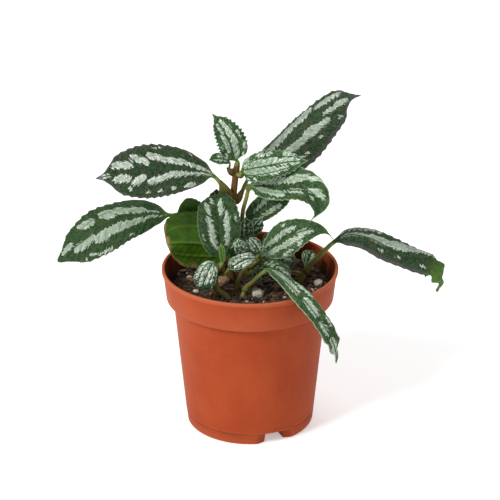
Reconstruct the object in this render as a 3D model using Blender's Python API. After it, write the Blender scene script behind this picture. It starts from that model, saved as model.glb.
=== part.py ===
"""Potted aluminum plant: a soft-stemmed foliage plant in a thin plastic nursery pot.

World +Z is up, the origin is on the pot's axis at the height of its feet, and the viewer of the
plant's front looks along +Y. Sizes below are in millimetres; meshes are built in metres.
"""

import math
import random
from dataclasses import dataclass

import bmesh
import bpy
import numpy as np

MM = 0.001
GAP = 0.3

# Pot
RIM_RADIUS = 40.0
POT_HEIGHT = 76.0
WALL = 1.3
BAND_HEIGHT = 14.4
BAND_FOOT_RADIUS = 38.0
BODY_TOP_RADIUS = 35.0
BODY_FOOT_RADIUS = 29.1
BODY_SLOPE = (BODY_TOP_RADIUS - BODY_FOOT_RADIUS) / (POT_HEIGHT - BAND_HEIGHT)
LIP_DROP = 2.4
LIP_FLARE = 0.7
FOOT_ROUND = 0.7
FLOOR_RISE = 5.0
FOOT_INNER_RADIUS = 17.5
FLOOR_PLATE_RADIUS = 15.5
DRAIN_RADIUS = 4.0
NOTCH_ANGLES = (-66.0, 54.0, 174.0)
NOTCH_CORNER_RADIUS = 26.8
NOTCH_HALF_OUTSIDE = 8.4
NOTCH_HALF_INSIDE = 3.8
NOTCH_FLANK = 1.0
NOTCH_ROOF_BLEND = 1.6
COLUMNS_BETWEEN_NOTCHES = 7

# Potting mix
SOIL_LEVEL = 66.3
SOIL_MOUND = 1.2
SOIL_RINGS = 9
SOIL_SPOKES = 44
SOIL_CLODS = 34
CLOD_REACH = 33.0
CLOD_SIZES = (2.4, 4.2)
CLOD_RISES = (-0.9, 1.1)
CLOD_SEED = 11
SOIL_RING_CROWDING = 0.9
SOIL_WALL_PLAY = 0.1
SOIL_SHOULDER = 0.5
LUMP_UNEVENNESS = 0.09

# Stems and leaves
STEM_SIDES = 8
BLADE_THICKNESS = 0.7
STALK_START = 1.2
STALK_SEAT = 0.1
STALK_CORNERS = (160, 125, 90, 55, 20, -20, -55, -90, -125, -160)
MIDRIB_KEEL = 0.6
TIP_HALF_WIDTH = 0.5
TIP_TAPER = (0.8, 0.97)
TEETH_RAMP = (0.2, 0.4)
MARGIN_WAVES = 2.5
RING_SHARES = (-1.0, -0.5, 0.0, 0.5, 1.0)


@dataclass(frozen=True)
class Finish:
    """Plain surface values for one kind of material."""

    name: str
    colour: tuple
    roughness: float
    metallic: float = 0.0


POT_PLASTIC = Finish("pot_plastic", (0.50, 0.115, 0.045), 0.55)
POTTING_MIX = Finish("potting_mix", (0.045, 0.022, 0.013), 0.95)
PERLITE = Finish("perlite", (0.66, 0.62, 0.56), 0.9)
BARK = Finish("bark", (0.32, 0.19, 0.11), 0.85)
RED_STEM = Finish("red_stem", (0.22, 0.085, 0.035), 0.5)
GREEN_STEM = Finish("green_stem", (0.20, 0.20, 0.055), 0.45)
OLD_LEAF = Finish("old_leaf", (0.075, 0.13, 0.075), 0.42)
YOUNG_LEAF = Finish("young_leaf", (0.17, 0.27, 0.13), 0.4)
PALE_LEAF = Finish("pale_leaf", (0.09, 0.20, 0.02), 0.5)


class Path:
    """A smooth curve through a few points, read by its share of chord length from 0 to 1."""

    def __init__(self, points):
        self.points = np.array(points, float)
        if len(self.points) == 2:
            self.points = np.insert(self.points, 1, self.points.mean(axis=0), axis=0)
        steps = np.linalg.norm(np.diff(self.points, axis=0), axis=1)
        self.length = steps.sum()
        self.shares = np.concatenate([[0.0], np.cumsum(steps)]) / self.length
        self.slopes = np.gradient(self.points, self.shares, axis=0, edge_order=2)

    def _span(self, share):
        last = len(self.shares) - 2
        i = min(max(int(np.searchsorted(self.shares, share, side="right")) - 1, 0), last)
        width = self.shares[i + 1] - self.shares[i]
        return i, width, (share - self.shares[i]) / width

    def at(self, share):
        """Point on the curve."""
        i, width, k = self._span(share)
        a, b = self.points[i], self.points[i + 1]
        ta, tb = self.slopes[i] * width, self.slopes[i + 1] * width
        return (
            (2 * k**3 - 3 * k**2 + 1) * a
            + (k**3 - 2 * k**2 + k) * ta
            + (3 * k**2 - 2 * k**3) * b
            + (k**3 - k**2) * tb
        )

    def along(self, share):
        """Unit direction of travel."""
        i, width, k = self._span(share)
        a, b = self.points[i], self.points[i + 1]
        ta, tb = self.slopes[i] * width, self.slopes[i + 1] * width
        slope = (
            (6 * k**2 - 6 * k) * a
            + (3 * k**2 - 4 * k + 1) * ta
            + (6 * k - 6 * k**2) * b
            + (3 * k**2 - 2 * k) * tb
        )
        return unit(slope)

    def share_at_height(self, height):
        """Share of the curve where it first reaches a height."""
        shares = np.linspace(0.0, 1.0, 201)
        heights = [self.at(share)[2] for share in shares]
        return float(shares[int(np.argmax(np.array(heights) >= height))])


@dataclass(frozen=True)
class Stem:
    """A stem that stands in the potting mix: points from its buried end to its tip."""

    name: str
    points: tuple
    root_radius: float
    tip_radius: float
    finish: Finish
    rings: int = 9

    def radius(self, share):
        """Radius at a share of the stem's length."""
        return self.root_radius + (self.tip_radius - self.root_radius) * share


@dataclass(frozen=True)
class Lump:
    """A grain or a piece of bark that sits half sunk in the potting mix."""

    name: str
    place: tuple
    radius: float
    finish: Finish
    fineness: int = 1


@dataclass(frozen=True)
class Leaf:
    """One leaf with its stalk.

    `spine` runs from the blade's base to its tip, and `via` holds points of the stalk between the
    stem and the blade. `height` is where the stalk leaves the stem; None means the stem's end.
    `face` is where the upper side looks: turn from the front towards the right, then elevation.
    `fold` raises both halves from the midrib, `cup` bends them further towards the margins, and
    `twist` turns the blade about its midrib from base to tip, all in degrees.
    """

    name: str
    stem: str
    height: float
    spine: tuple
    width: float
    face: tuple
    via: tuple = ()
    finish: Finish = OLD_LEAF
    widest: float = 0.55
    fullness: float = 1.4
    drawn_out: float = 0.5
    fold: float = 12.0
    cup: float = 0.0
    twist: float = 0.0
    puff: float = 0.5
    wave: float = 0.4
    teeth: int = 7
    tooth: float = 0.05
    stalk_radius: float = 1.0
    neck_radius: float = 0.75
    stalk_rings: int = 4


STEMS = (
    Stem(
        "main_stem",
        ((-8.5, 3.0, 51.0), (-8.3, 2.5, 66.0), (-8.6, 2.0, 86.0), (-7.6, 2.0, 108.0), (-5.8, 2.0, 124.5)),
        2.1, 1.4, RED_STEM, 13,
    ),
    Stem(
        "shoot_stem",
        ((-1.5, 8.5, 51.0), (-1.5, 8.5, 66.0), (-2.6, 6.5, 84.0), (-3.6, 4.5, 96.0), (-3.2, 3.5, 101.5),
         (-1.4, 1.5, 110.0), (-0.7, 0.5, 114.0)),
        1.3, 0.9, GREEN_STEM, 13,
    ),
    Stem(
        "front_left_stem",
        ((-9.5, -13.4, 51.0), (-9.9, -13.4, 66.5), (-15.0, -14.0, 71.5), (-15.5, -13.5, 76.5),
         (-13.6, -12.5, 81.5)),
        1.6, 1.2, GREEN_STEM, 11,
    ),
    Stem(
        "front_stem",
        ((-6.3, -8.2, 51.0), (-6.3, -8.2, 67.0), (-5.0, -8.2, 73.0), (-1.2, -8.2, 79.5), (2.6, -8.0, 83.2)),
        1.4, 1.0, RED_STEM, 10,
    ),
    Stem(
        "rim_leaf_stub",
        ((-3.6, -14.0, 51.0), (-3.6, -14.0, 66.0), (-2.0, -14.5, 71.0)),
        1.3, 1.1, GREEN_STEM, 6,
    ),
    Stem(
        "far_leaf_stub",
        ((22.6, 3.5, 51.0), (22.8, 3.5, 66.0), (25.4, 2.4, 72.6)),
        1.7, 1.3, GREEN_STEM, 6,
    ),
)

LUMPS = (
    Lump("perlite_front", (3.4, -13.3, 68.4), 2.5, PERLITE, 2),
    Lump("perlite_right", (31.0, -0.5, 67.6), 2.0, PERLITE, 2),
    Lump("perlite_right_small", (27.4, -8.2, 67.4), 1.5, PERLITE),
    Lump("perlite_left", (-27.6, 6.6, 67.0), 1.2, PERLITE),
    Lump("perlite_left_front", (-24.4, -8.6, 67.2), 1.3, PERLITE),
    Lump("bark_ball", (-12.2, -1.7, 69.4), 2.8, BARK, 2),
)

LEAVES = (
    Leaf(
        "leaf_top_left", "main_stem", 105.5,
        ((-15.6, 0.0, 119.7), (-26.6, -2.0, 123.2), (-39.8, -4.0, 124.2), (-53.8, -7.0, 124.0),
         (-68.0, -9.0, 122.7)),
        width=24.5, face=(-4, 34), via=((-12.0, 1.0, 113.5),), widest=0.54, fullness=1.6, drawn_out=0.7,
        fold=6, teeth=8, stalk_radius=1.2, neck_radius=0.9,
    ),
    Leaf(
        "leaf_top_right", "main_stem", 107.5,
        ((0.9, 8.0, 118.4), (9.0, 10.0, 124.1), (17.4, 11.0, 130.4), (25.4, 12.0, 138.2),
         (33.3, 12.0, 146.3), (40.8, 11.0, 152.5), (49.0, 9.0, 154.9)),
        width=25.5, face=(-28, 43), via=((-2.5, 6.0, 113.0),), fold=0, cup=-50, teeth=8, widest=0.42,
        fullness=1.2, drawn_out=0.7,
    ),
    Leaf(
        "leaf_low_left", "main_stem", 93.0,
        ((-35.6, 17.0, 94.0), (-45.8, 15.0, 95.4), (-55.7, 11.6, 94.6), (-66.6, 7.4, 91.2),
         (-77.2, 3.5, 84.8), (-87.1, 0.0, 78.3)),
        width=22.5, face=(-10, 44), via=((-13.0, 12.0, 94.5), (-23.0, 18.5, 96.0)), fold=-6, teeth=8,
        widest=0.56, fullness=1.3,
    ),
    Leaf(
        "leaf_centre", "front_left_stem", None,
        ((-12.5, -12.0, 84.0), (-13.1, -11.0, 94.0), (-14.0, -8.0, 103.8), (-15.2, -5.0, 110.0),
         (-15.8, -1.0, 111.5)),
        width=19.5, face=(-4, 18), fold=6, teeth=7, widest=0.56, fullness=0.95, drawn_out=0.1,
    ),
    Leaf(
        "leaf_mid_right", "front_stem", None,
        ((4.1, -8.0, 84.5), (11.2, -9.0, 90.0), (18.0, -10.0, 95.4), (24.7, -10.0, 98.2),
         (31.5, -8.0, 97.6), (37.5, -5.0, 91.3)),
        width=15.5, face=(0, 34), fold=6, teeth=7, widest=0.37, fullness=3.3, drawn_out=0.4,
    ),
    Leaf(
        "leaf_far_right", "far_leaf_stub", None,
        ((37.6, 0.0, 87.8), (43.0, -1.0, 92.0), (51.6, -3.0, 92.5), (62.6, -5.0, 88.1),
         (73.6, -7.0, 83.5), (82.9, -8.0, 79.2), (85.7, -7.5, 73.7), (84.6, -6.0, 66.0)),
        width=14.2, face=(4, 56), via=((31.5, 1.0, 80.8),), fold=0, cup=-35, twist=30, teeth=8,
        widest=0.4, fullness=0.85, drawn_out=0.4, stalk_radius=1.3, neck_radius=1.0,
    ),
    Leaf(
        "leaf_over_rim", "rim_leaf_stub", None,
        ((7.1, -18.0, 82.0), (13.0, -25.0, 82.0), (18.7, -32.2, 79.9), (24.9, -37.4, 75.0),
         (30.6, -40.4, 68.4), (35.5, -41.2, 59.8), (38.2, -41.0, 47.7)),
        width=9.6, face=(35, 48), via=((0.9, -16.0, 75.3), (4.0, -17.5, 79.3)), fold=8, teeth=8,
        fullness=1.2, stalk_radius=1.2, neck_radius=0.9,
    ),
    Leaf(
        "leaf_upper_right", "shoot_stem", None,
        ((-0.8, -1.0, 115.8), (3.6, -2.5, 116.2), (11.1, -6.0, 117.4), (19.0, -10.0, 118.8),
         (25.5, -13.0, 118.7), (29.4, -14.5, 115.2), (29.5, -15.5, 109.9), (26.0, -16.5, 104.8)),
        width=20.0, face=(4, 46), fold=28, teeth=8, widest=0.4, fullness=1.9, drawn_out=0.8,
        stalk_rings=2,
    ),
    Leaf(
        "leaf_inner_right", "shoot_stem", 92.5,
        ((-1.0, 4.0, 96.0), (2.7, 6.0, 99.4), (9.0, 8.0, 103.3), (15.3, 9.0, 106.8),
         (19.8, 9.5, 109.0)),
        width=11.5, face=(2, 26), fold=8, teeth=6, widest=0.45, fullness=1.1, stalk_rings=2,
        stalk_radius=0.7, neck_radius=0.6,
    ),
    Leaf(
        "leaf_pot_left", "main_stem", 84.0,
        ((-12.0, 4.0, 84.0), (-24.5, 8.5, 84.0), (-38.2, 12.0, 82.0)),
        width=31.0, face=(172, 8), finish=PALE_LEAF, fullness=0.65, fold=6, teeth=7, drawn_out=0.0,
        widest=0.55, stalk_rings=3,
    ),
    Leaf(
        "leaf_inner_left", "main_stem", 87.5,
        ((-18.2, 12.2, 90.0), (-23.4, 13.6, 94.6), (-28.2, 14.0, 98.0), (-31.8, 14.2, 100.1)),
        width=12.5, face=(-5, 12), via=((-12.2, 8.0, 89.5),), fold=3, puff=0.3, wave=0.2, teeth=5,
        widest=0.6, fullness=0.8, drawn_out=0.0,
    ),
    Leaf(
        "leaf_inner_tip", "main_stem", 98.0,
        ((-13.0, 5.0, 100.6), (-14.6, 6.0, 106.0), (-15.0, 6.0, 111.4)),
        width=8.0, face=(-6, 20), teeth=4, stalk_radius=0.6, neck_radius=0.5, stalk_rings=2,
    ),
    Leaf(
        "leaf_crown_left", "main_stem", None,
        ((-6.0, 1.5, 127.0), (-7.0, 0.5, 132.2), (-8.9, -1.0, 138.6), (-12.1, -1.5, 144.4),
         (-16.6, -2.0, 150.5)),
        width=13.5, face=(6, 18), finish=YOUNG_LEAF, fold=10, teeth=7, tooth=0.08, fullness=1.3,
        widest=0.38, drawn_out=0.6, stalk_rings=2,
    ),
    Leaf(
        "leaf_crown_right", "main_stem", 120.5,
        ((-3.8, -1.0, 122.5), (1.2, -3.0, 124.8), (7.2, -4.5, 126.7), (14.7, -6.0, 128.8),
         (25.5, -7.5, 130.5)),
        width=14.0, face=(5, 34), finish=YOUNG_LEAF, fold=8, teeth=7, tooth=0.08, fullness=1.3,
        widest=0.38, drawn_out=0.5, stalk_rings=2, stalk_radius=0.8,
    ),
    Leaf(
        "leaf_crown_small", "main_stem", 122.0,
        ((-9.0, 1.0, 126.0), (-13.5, -1.0, 128.6), (-18.2, -3.0, 129.0)),
        width=6.0, face=(0, 50), finish=YOUNG_LEAF, teeth=4, stalk_radius=0.6, neck_radius=0.5,
        stalk_rings=2, puff=0.2, wave=0.2,
    ),
    Leaf(
        "leaf_front_left", "front_left_stem", 79.0,
        ((-16.0, -15.8, 85.5), (-17.6, -17.0, 83.2), (-19.6, -18.5, 78.8), (-21.6, -20.0, 73.3)),
        width=10.5, face=(-12, 40), finish=YOUNG_LEAF, teeth=5, tooth=0.1, fullness=1.0, drawn_out=0.2,
        stalk_radius=0.7, neck_radius=0.6, stalk_rings=2,
    ),
    Leaf(
        "leaf_front_small", "front_left_stem", 79.0,
        ((-9.2, -15.0, 81.9), (-6.0, -17.0, 84.9), (-2.2, -18.0, 87.8)),
        width=7.5, face=(8, 18), finish=YOUNG_LEAF, teeth=4, tooth=0.1, stalk_radius=0.7,
        neck_radius=0.6, stalk_rings=2,
    ),
    Leaf(
        "leaf_bud", "front_left_stem", 80.5,
        ((-12.2, -16.2, 85.5), (-12.3, -16.5, 90.0), (-12.9, -16.0, 94.5)),
        width=2.8, face=(0, 10), finish=YOUNG_LEAF, teeth=3, tooth=0.0, stalk_radius=0.7,
        neck_radius=0.8, stalk_rings=2, puff=0.1, wave=0.0, fullness=0.8,
    ),
    Leaf(
        "leaf_curl_front", "front_stem", 82.0,
        ((0.0, -10.5, 85.4), (-3.1, -13.8, 90.6), (-7.1, -15.6, 95.0)),
        width=7.0, face=(-10, 30), finish=YOUNG_LEAF, teeth=4, tooth=0.1, stalk_radius=0.6,
        neck_radius=0.5, stalk_rings=2,
    ),
    Leaf(
        "leaf_curl_back", "front_stem", 80.5,
        ((1.0, -4.5, 84.6), (0.0, -4.0, 88.8), (-1.3, -3.0, 92.3)),
        width=8.0, face=(0, 25), finish=YOUNG_LEAF, teeth=4, tooth=0.1, stalk_radius=0.6,
        neck_radius=0.5, stalk_rings=2,
    ),
    Leaf(
        "leaf_shoot_left", "shoot_stem", 84.0,
        ((-1.8, 1.0, 87.1), (-1.6, -1.5, 94.6), (-2.0, -2.5, 101.4)),
        width=7.0, face=(0, 15), finish=YOUNG_LEAF, teeth=4, tooth=0.1, stalk_radius=0.6,
        neck_radius=0.5, stalk_rings=2,
    ),
    Leaf(
        "leaf_shoot_right", "shoot_stem", 87.5,
        ((-0.6, 2.6, 89.9), (2.3, 1.2, 95.5), (5.4, 0.6, 99.6)),
        width=7.5, face=(10, 15), finish=YOUNG_LEAF, teeth=4, tooth=0.1, stalk_radius=0.6,
        neck_radius=0.5, stalk_rings=2,
    ),
    Leaf(
        "leaf_under_front", "front_stem", 77.0,
        ((1.0, -9.5, 78.8), (4.0, -11.0, 77.0), (7.5, -12.0, 74.5)),
        width=7.0, face=(20, 45), teeth=4, tooth=0.08, stalk_radius=0.6, neck_radius=0.5, stalk_rings=2,
    ),
    Leaf(
        "leaf_under_middle", "front_stem", 78.5,
        ((4.0, -5.0, 80.0), (11.0, -3.5, 78.0), (18.5, -2.0, 73.5)),
        width=12.0, face=(10, 50), teeth=5, tooth=0.08, stalk_radius=0.7, neck_radius=0.6,
    ),
    Leaf(
        "leaf_under_right", "far_leaf_stub", 68.8,
        ((25.5, 8.0, 72.0), (27.0, 11.0, 75.0), (28.5, 14.0, 77.5)),
        width=8.0, face=(10, 30), teeth=4, tooth=0.08, stalk_radius=0.7, neck_radius=0.6, stalk_rings=2,
    ),
    Leaf(
        "leaf_under_left", "far_leaf_stub", 70.0,
        ((18.0, 4.5, 71.5), (16.6, 6.0, 76.0), (16.2, 8.0, 81.0)),
        width=9.0, face=(-5, 25), teeth=5, tooth=0.08, stalk_radius=0.7, neck_radius=0.6, stalk_rings=2,
    ),
    Leaf(
        "leaf_back_left", "main_stem", 81.5,
        ((-10.5, 9.5, 84.5), (-16.0, 26.0, 87.0), (-20.0, 43.6, 79.0)),
        width=18.0, face=(190, 68), fold=10, teeth=6,
    ),
    Leaf(
        "leaf_back_right", "shoot_stem", 74.0,
        ((6.0, 14.0, 76.5), (13.0, 23.0, 80.0), (21.0, 32.0, 77.5)),
        width=13.0, face=(150, 70), fold=10, teeth=5,
    ),
)


def unit(vector):
    """Vector scaled to length one."""
    return vector / np.linalg.norm(vector)


def square_to(vector, direction):
    """Part of a vector at right angles to a direction, as a unit vector."""
    return unit(vector - direction * np.dot(vector, direction))


def turned(vector, axis, degrees):
    """Vector turned about a unit axis that it is square to."""
    angle = math.radians(degrees)
    return vector * math.cos(angle) + np.cross(axis, vector) * math.sin(angle)


def facing(turn, elevation):
    """Unit vector that looks to the front, turned to the right and raised, in degrees."""
    turn, elevation = math.radians(turn), math.radians(elevation)
    flat = math.cos(elevation)
    return np.array([flat * math.sin(turn), -flat * math.cos(turn), math.sin(elevation)])


def material(finish):
    """Principled material of a finish, made once."""
    found = bpy.data.materials.get(finish.name)
    if found:
        return found
    made = bpy.data.materials.new(finish.name)
    made.use_nodes = True
    shader = made.node_tree.nodes["Principled BSDF"]
    shader.inputs["Base Color"].default_value = (*finish.colour, 1.0)
    shader.inputs["Roughness"].default_value = finish.roughness
    shader.inputs["Metallic"].default_value = finish.metallic
    made.diffuse_color = (*finish.colour, 1.0)
    return made


def add_object(name, vertices, faces, finish, smooth=True):
    """Object from points in millimetres, with its faces turned outwards."""
    mesh = bpy.data.meshes.new(name)
    mesh.from_pydata([tuple(np.array(v) * MM) for v in vertices], [], faces)
    form = bmesh.new()
    form.from_mesh(mesh)
    bmesh.ops.recalc_face_normals(form, faces=form.faces)
    form.to_mesh(mesh)
    form.free()
    mesh.materials.append(material(finish))
    if smooth:
        mesh.shade_smooth()
        mesh.set_sharp_from_angle(angle=math.radians(50))
    made = bpy.data.objects.new(name, mesh)
    bpy.context.scene.collection.objects.link(made)
    return made


def ring_faces(rings, columns, closed_rows=False):
    """Quads between neighbouring rings; closed_rows also joins the last ring to the first."""
    faces = []
    for i in range(rings if closed_rows else rings - 1):
        k = (i + 1) % rings
        for j in range(columns):
            n = (j + 1) % columns
            faces.append((i * columns + j, k * columns + j, k * columns + n, i * columns + n))
    return faces


def notch_half_width(radius):
    """Half the width of a drainage notch at a radius."""
    reach = (NOTCH_CORNER_RADIUS, BODY_FOOT_RADIUS)
    return float(np.interp(radius, reach, (NOTCH_HALF_INSIDE, NOTCH_HALF_OUTSIDE)))


def pot_columns(radius, widen):
    """Angles round the pot with the share by which each is lifted into a notch."""
    near = notch_half_width(radius + widen) + widen
    far = near + NOTCH_FLANK
    inner = math.degrees(near / radius)
    outer = math.degrees(far / radius)
    pitch = 360.0 / len(NOTCH_ANGLES)
    columns = []
    for centre in NOTCH_ANGLES:
        columns += [(centre, 1.0), (centre + inner, 1.0), (centre + outer, 0.0)]
        gap = (pitch - 2 * outer) / (COLUMNS_BETWEEN_NOTCHES + 1)
        for k in range(COLUMNS_BETWEEN_NOTCHES):
            columns.append((centre + outer + gap * (k + 1), 0.0))
        columns += [(centre + pitch - outer, 0.0), (centre + pitch - inner, 1.0)]
    return columns


def body_radius(height):
    """Outer radius of the tapered body at a height."""
    return BODY_FOOT_RADIUS + BODY_SLOPE * height


def pot_profile():
    """Closed section of the pot: radius, height, lift in the notches and flank widening."""
    step = POT_HEIGHT - BAND_HEIGHT
    band_top = POT_HEIGHT - LIP_DROP
    band_top_radius = RIM_RADIUS - LIP_FLARE
    floor = FLOOR_RISE + WALL
    roof = FLOOR_RISE + NOTCH_ROOF_BLEND
    outside = [
        (BODY_FOOT_RADIUS - FOOT_ROUND, 0.0, 1.0, 0.0),
        (body_radius(FOOT_ROUND), FOOT_ROUND, 1.0, 0.0),
        (body_radius(roof), roof, 0.0, 0.0),
        (BODY_TOP_RADIUS, step, 0.0, 0.0),
        (BAND_FOOT_RADIUS, step, 0.0, 0.0),
        (band_top_radius, band_top, 0.0, 0.0),
        (RIM_RADIUS, band_top + LIP_FLARE, 0.0, 0.0),
        (RIM_RADIUS, POT_HEIGHT, 0.0, 0.0),
    ]
    inside = [
        (RIM_RADIUS - WALL, POT_HEIGHT, 0.0, 0.0),
        (BAND_FOOT_RADIUS - WALL, step + WALL, 0.0, 0.0),
        (body_radius(step) - WALL, step + WALL, 0.0, 0.0),
        (body_radius(floor + WALL) - WALL, floor + WALL, 0.0, WALL),
        (body_radius(WALL) - WALL - FOOT_ROUND / 2, WALL, 1.0, WALL),
        (NOTCH_CORNER_RADIUS - WALL, WALL, 1.0, WALL),
        (FOOT_INNER_RADIUS - WALL / 2, WALL, 1.0, WALL),
        (FLOOR_PLATE_RADIUS - WALL / 2, floor, 0.0, WALL),
        (DRAIN_RADIUS, floor, 0.0, 0.0),
    ]
    below = [
        (DRAIN_RADIUS, FLOOR_RISE, 0.0, 0.0),
        (FLOOR_PLATE_RADIUS, FLOOR_RISE, 0.0, 0.0),
        (FOOT_INNER_RADIUS, 0.0, 1.0, 0.0),
        (NOTCH_CORNER_RADIUS, 0.0, 1.0, 0.0),
    ]
    return outside + inside + below


def build_pot():
    """Pot as one turned shell whose foot is lifted into three drainage notches."""
    vertices = []
    profile = pot_profile()
    for radius, height, lift, widen in profile:
        for angle, share in pot_columns(radius, widen):
            turn = math.radians(angle)
            rise = lift * share * FLOOR_RISE
            reach = radius + rise * BODY_SLOPE if radius > NOTCH_CORNER_RADIUS else radius
            vertices.append((reach * math.cos(turn), reach * math.sin(turn), height + rise))
    columns = len(vertices) // len(profile)
    faces = ring_faces(len(profile), columns, closed_rows=True)
    pot = add_object("pot", vertices, faces, POT_PLASTIC, smooth=False)
    triangulate(pot)
    pot.data.shade_smooth()
    pot.data.set_sharp_from_angle(angle=math.radians(35))
    return pot


def triangulate(made):
    """Split an object's faces into triangles."""
    form = bmesh.new()
    form.from_mesh(made.data)
    bmesh.ops.triangulate(form, faces=form.faces)
    form.to_mesh(made.data)
    form.free()


def soil_height(x, y, clods):
    """Height of the potting mix, a low mound with clods."""
    distance = math.hypot(x, y)
    height = SOIL_LEVEL + SOIL_MOUND * (1.0 - (distance / BAND_FOOT_RADIUS) ** 2)
    for cx, cy, size, rise in clods:
        height += rise * math.exp(-((x - cx) ** 2 + (y - cy) ** 2) / size**2)
    return height


def soil_clods():
    """Places, sizes and heights of the clods, drawn with a fixed seed."""
    draw = random.Random(CLOD_SEED)
    clods = []
    for _ in range(SOIL_CLODS):
        reach = CLOD_REACH * math.sqrt(draw.random())
        turn = draw.uniform(0.0, math.tau)
        size = draw.uniform(*CLOD_SIZES)
        rise = draw.uniform(*CLOD_RISES)
        clods.append((reach * math.cos(turn), reach * math.sin(turn), size, rise))
    return clods


def build_soil():
    """Potting mix as one closed body that clears the pot's wall."""
    clods = soil_clods()
    step = POT_HEIGHT - BAND_HEIGHT
    bottom = FLOOR_RISE + WALL + GAP
    inset = WALL + GAP + SOIL_WALL_PLAY
    edge = BAND_FOOT_RADIUS - inset
    above_floor = bottom + WALL
    side = [
        (edge, step + WALL + 1.5 * SOIL_SHOULDER + GAP),
        (body_radius(step) - inset, step + WALL + SOIL_SHOULDER),
        (body_radius(step) - inset - SOIL_SHOULDER, step - 2.0 * SOIL_SHOULDER),
        (body_radius(above_floor) - inset - SOIL_SHOULDER, above_floor),
        (body_radius(bottom) - inset - WALL, bottom),
    ]
    vertices = [(0.0, 0.0, soil_height(0.0, 0.0, clods))]
    spokes = [math.tau * k / SOIL_SPOKES for k in range(SOIL_SPOKES)]
    for ring in range(1, SOIL_RINGS + 1):
        radius = edge * (ring / SOIL_RINGS) ** SOIL_RING_CROWDING
        for turn in spokes:
            x, y = radius * math.cos(turn), radius * math.sin(turn)
            vertices.append((x, y, soil_height(x, y, clods)))
    for radius, height in side:
        vertices += [(radius * math.cos(t), radius * math.sin(t), height) for t in spokes]
    vertices.append((0.0, 0.0, bottom))
    rows = SOIL_RINGS + len(side)
    faces = [tuple(1 + n for n in face) for face in ring_faces(rows, SOIL_SPOKES)]
    last = 1 + (rows - 1) * SOIL_SPOKES
    for j in range(SOIL_SPOKES):
        n = (j + 1) % SOIL_SPOKES
        faces.append((0, 1 + j, 1 + n))
        faces.append((len(vertices) - 1, last + n, last + j))
    soil = add_object("soil", vertices, faces, POTTING_MIX)
    triangulate(soil)
    return soil


def tube(path, radius_at, rings, grow=0.0, start=0.0):
    """Rings of a tube along a path, with its faces; grow widens it and lengthens its ends."""
    vertices = []
    first = path.along(start)
    side = square_to(np.array([1.0, 0.2, 0.0]), first)
    shares = np.linspace(start, 1.0, rings)
    for k, share in enumerate(shares):
        ahead = path.along(share)
        side = square_to(side, ahead)
        other = np.cross(ahead, side)
        centre = path.at(share)
        if k == 0:
            centre = centre - ahead * grow
        if k == rings - 1:
            centre = centre + ahead * grow
        radius = radius_at(share) + grow
        for j in range(STEM_SIDES):
            turn = math.tau * j / STEM_SIDES
            vertices.append(centre + radius * (side * math.cos(turn) + other * math.sin(turn)))
    faces = ring_faces(rings, STEM_SIDES)
    faces.append(tuple(range(STEM_SIDES)))
    faces.append(tuple((rings - 1) * STEM_SIDES + j for j in reversed(range(STEM_SIDES))))
    return vertices, faces


def build_stem(stem):
    """Stem as a tapered tube."""
    vertices, faces = tube(Path(stem.points), stem.radius, stem.rings)
    made = add_object(stem.name, vertices, faces, stem.finish)
    triangulate(made)
    return made


def lump_form(lump, grow=0.0):
    """Points and faces of a rounded, uneven lump; grow moves its surface outwards."""
    form = bmesh.new()
    bmesh.ops.create_icosphere(form, subdivisions=lump.fineness + 1, radius=1.0)
    phase = sum(lump.place)
    vertices = []
    for vertex in form.verts:
        way = np.array(vertex.co)
        bumps = math.sin(3.1 * way[0] + phase) * math.cos(2.7 * way[1] - phase) + math.sin(4.3 * way[2])
        reach = lump.radius * (1.0 + LUMP_UNEVENNESS * bumps) + grow
        vertices.append(np.array(lump.place) + way * reach)
    faces = [tuple(vertex.index for vertex in face.verts) for face in form.faces]
    form.free()
    return vertices, faces


def build_lump(lump):
    """Grain or piece of bark."""
    vertices, faces = lump_form(lump)
    return add_object(lump.name, vertices, faces, lump.finish)


def cut_soil(soil):
    """Holes for the stems and sockets for the lumps, a little wider than what sits in them."""
    cutters = bpy.data.collections.new("soil_cutters")
    bpy.context.scene.collection.children.link(cutters)
    forms = [
        (stem.name, tube(Path(stem.points), stem.radius, stem.rings, grow=GAP)) for stem in STEMS
    ]
    forms += [(lump.name, lump_form(lump, grow=GAP)) for lump in LUMPS]
    for name, (vertices, faces) in forms:
        cutter = add_object(name + "_cutter", vertices, faces, POTTING_MIX, smooth=False)
        bpy.context.scene.collection.objects.unlink(cutter)
        cutters.objects.link(cutter)
        cutter.hide_render = True
        cutter.display_type = "WIRE"
    cut = soil.modifiers.new("holes", "BOOLEAN")
    cut.operation = "DIFFERENCE"
    cut.operand_type = "COLLECTION"
    cut.collection = cutters
    cut.solver = "EXACT"


def half_width(leaf, share, index):
    """Half the blade's width at a share of its length, with the tooth of this station."""
    p, k = leaf.widest, leaf.fullness
    swell = 0.0
    if 0.0 < share < 1.0:
        swell = (share / p) ** (p * k) * ((1.0 - share) / (1.0 - p)) ** ((1.0 - p) * k)
    near_tip = np.interp(share, TIP_TAPER, (0.0, 1.0))
    swell *= 1.0 - leaf.drawn_out * near_tip * near_tip * (3.0 - 2.0 * near_tip)
    toothed = np.interp(share, TEETH_RAMP, (0.0, 1.0))
    swell *= 1.0 + leaf.tooth * toothed * (1.0 if index % 2 == 0 else -1.0)
    neck = leaf.neck_radius * (1.0 - share)
    return max(math.hypot(leaf.width / 2.0 * swell, neck), TIP_HALF_WIDTH)


def blade_point(leaf, half, share, t):
    """Sideways and upward offset of the blade's middle surface, and its lean, at one point."""
    reach = abs(t) * half
    lean = math.radians(leaf.fold + leaf.cup * abs(t) / 2.0)
    size = half / (leaf.width / 2.0)
    rise = leaf.puff * size * math.sin(math.pi * abs(t))
    phase = MARGIN_WAVES * share + np.sign(t) / 4
    rise += leaf.wave * size * t * t * math.sin(math.tau * phase)
    across = reach * math.cos(lean) * np.sign(t)
    return across, reach * math.sin(lean) + rise, lean * np.sign(t)


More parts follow.
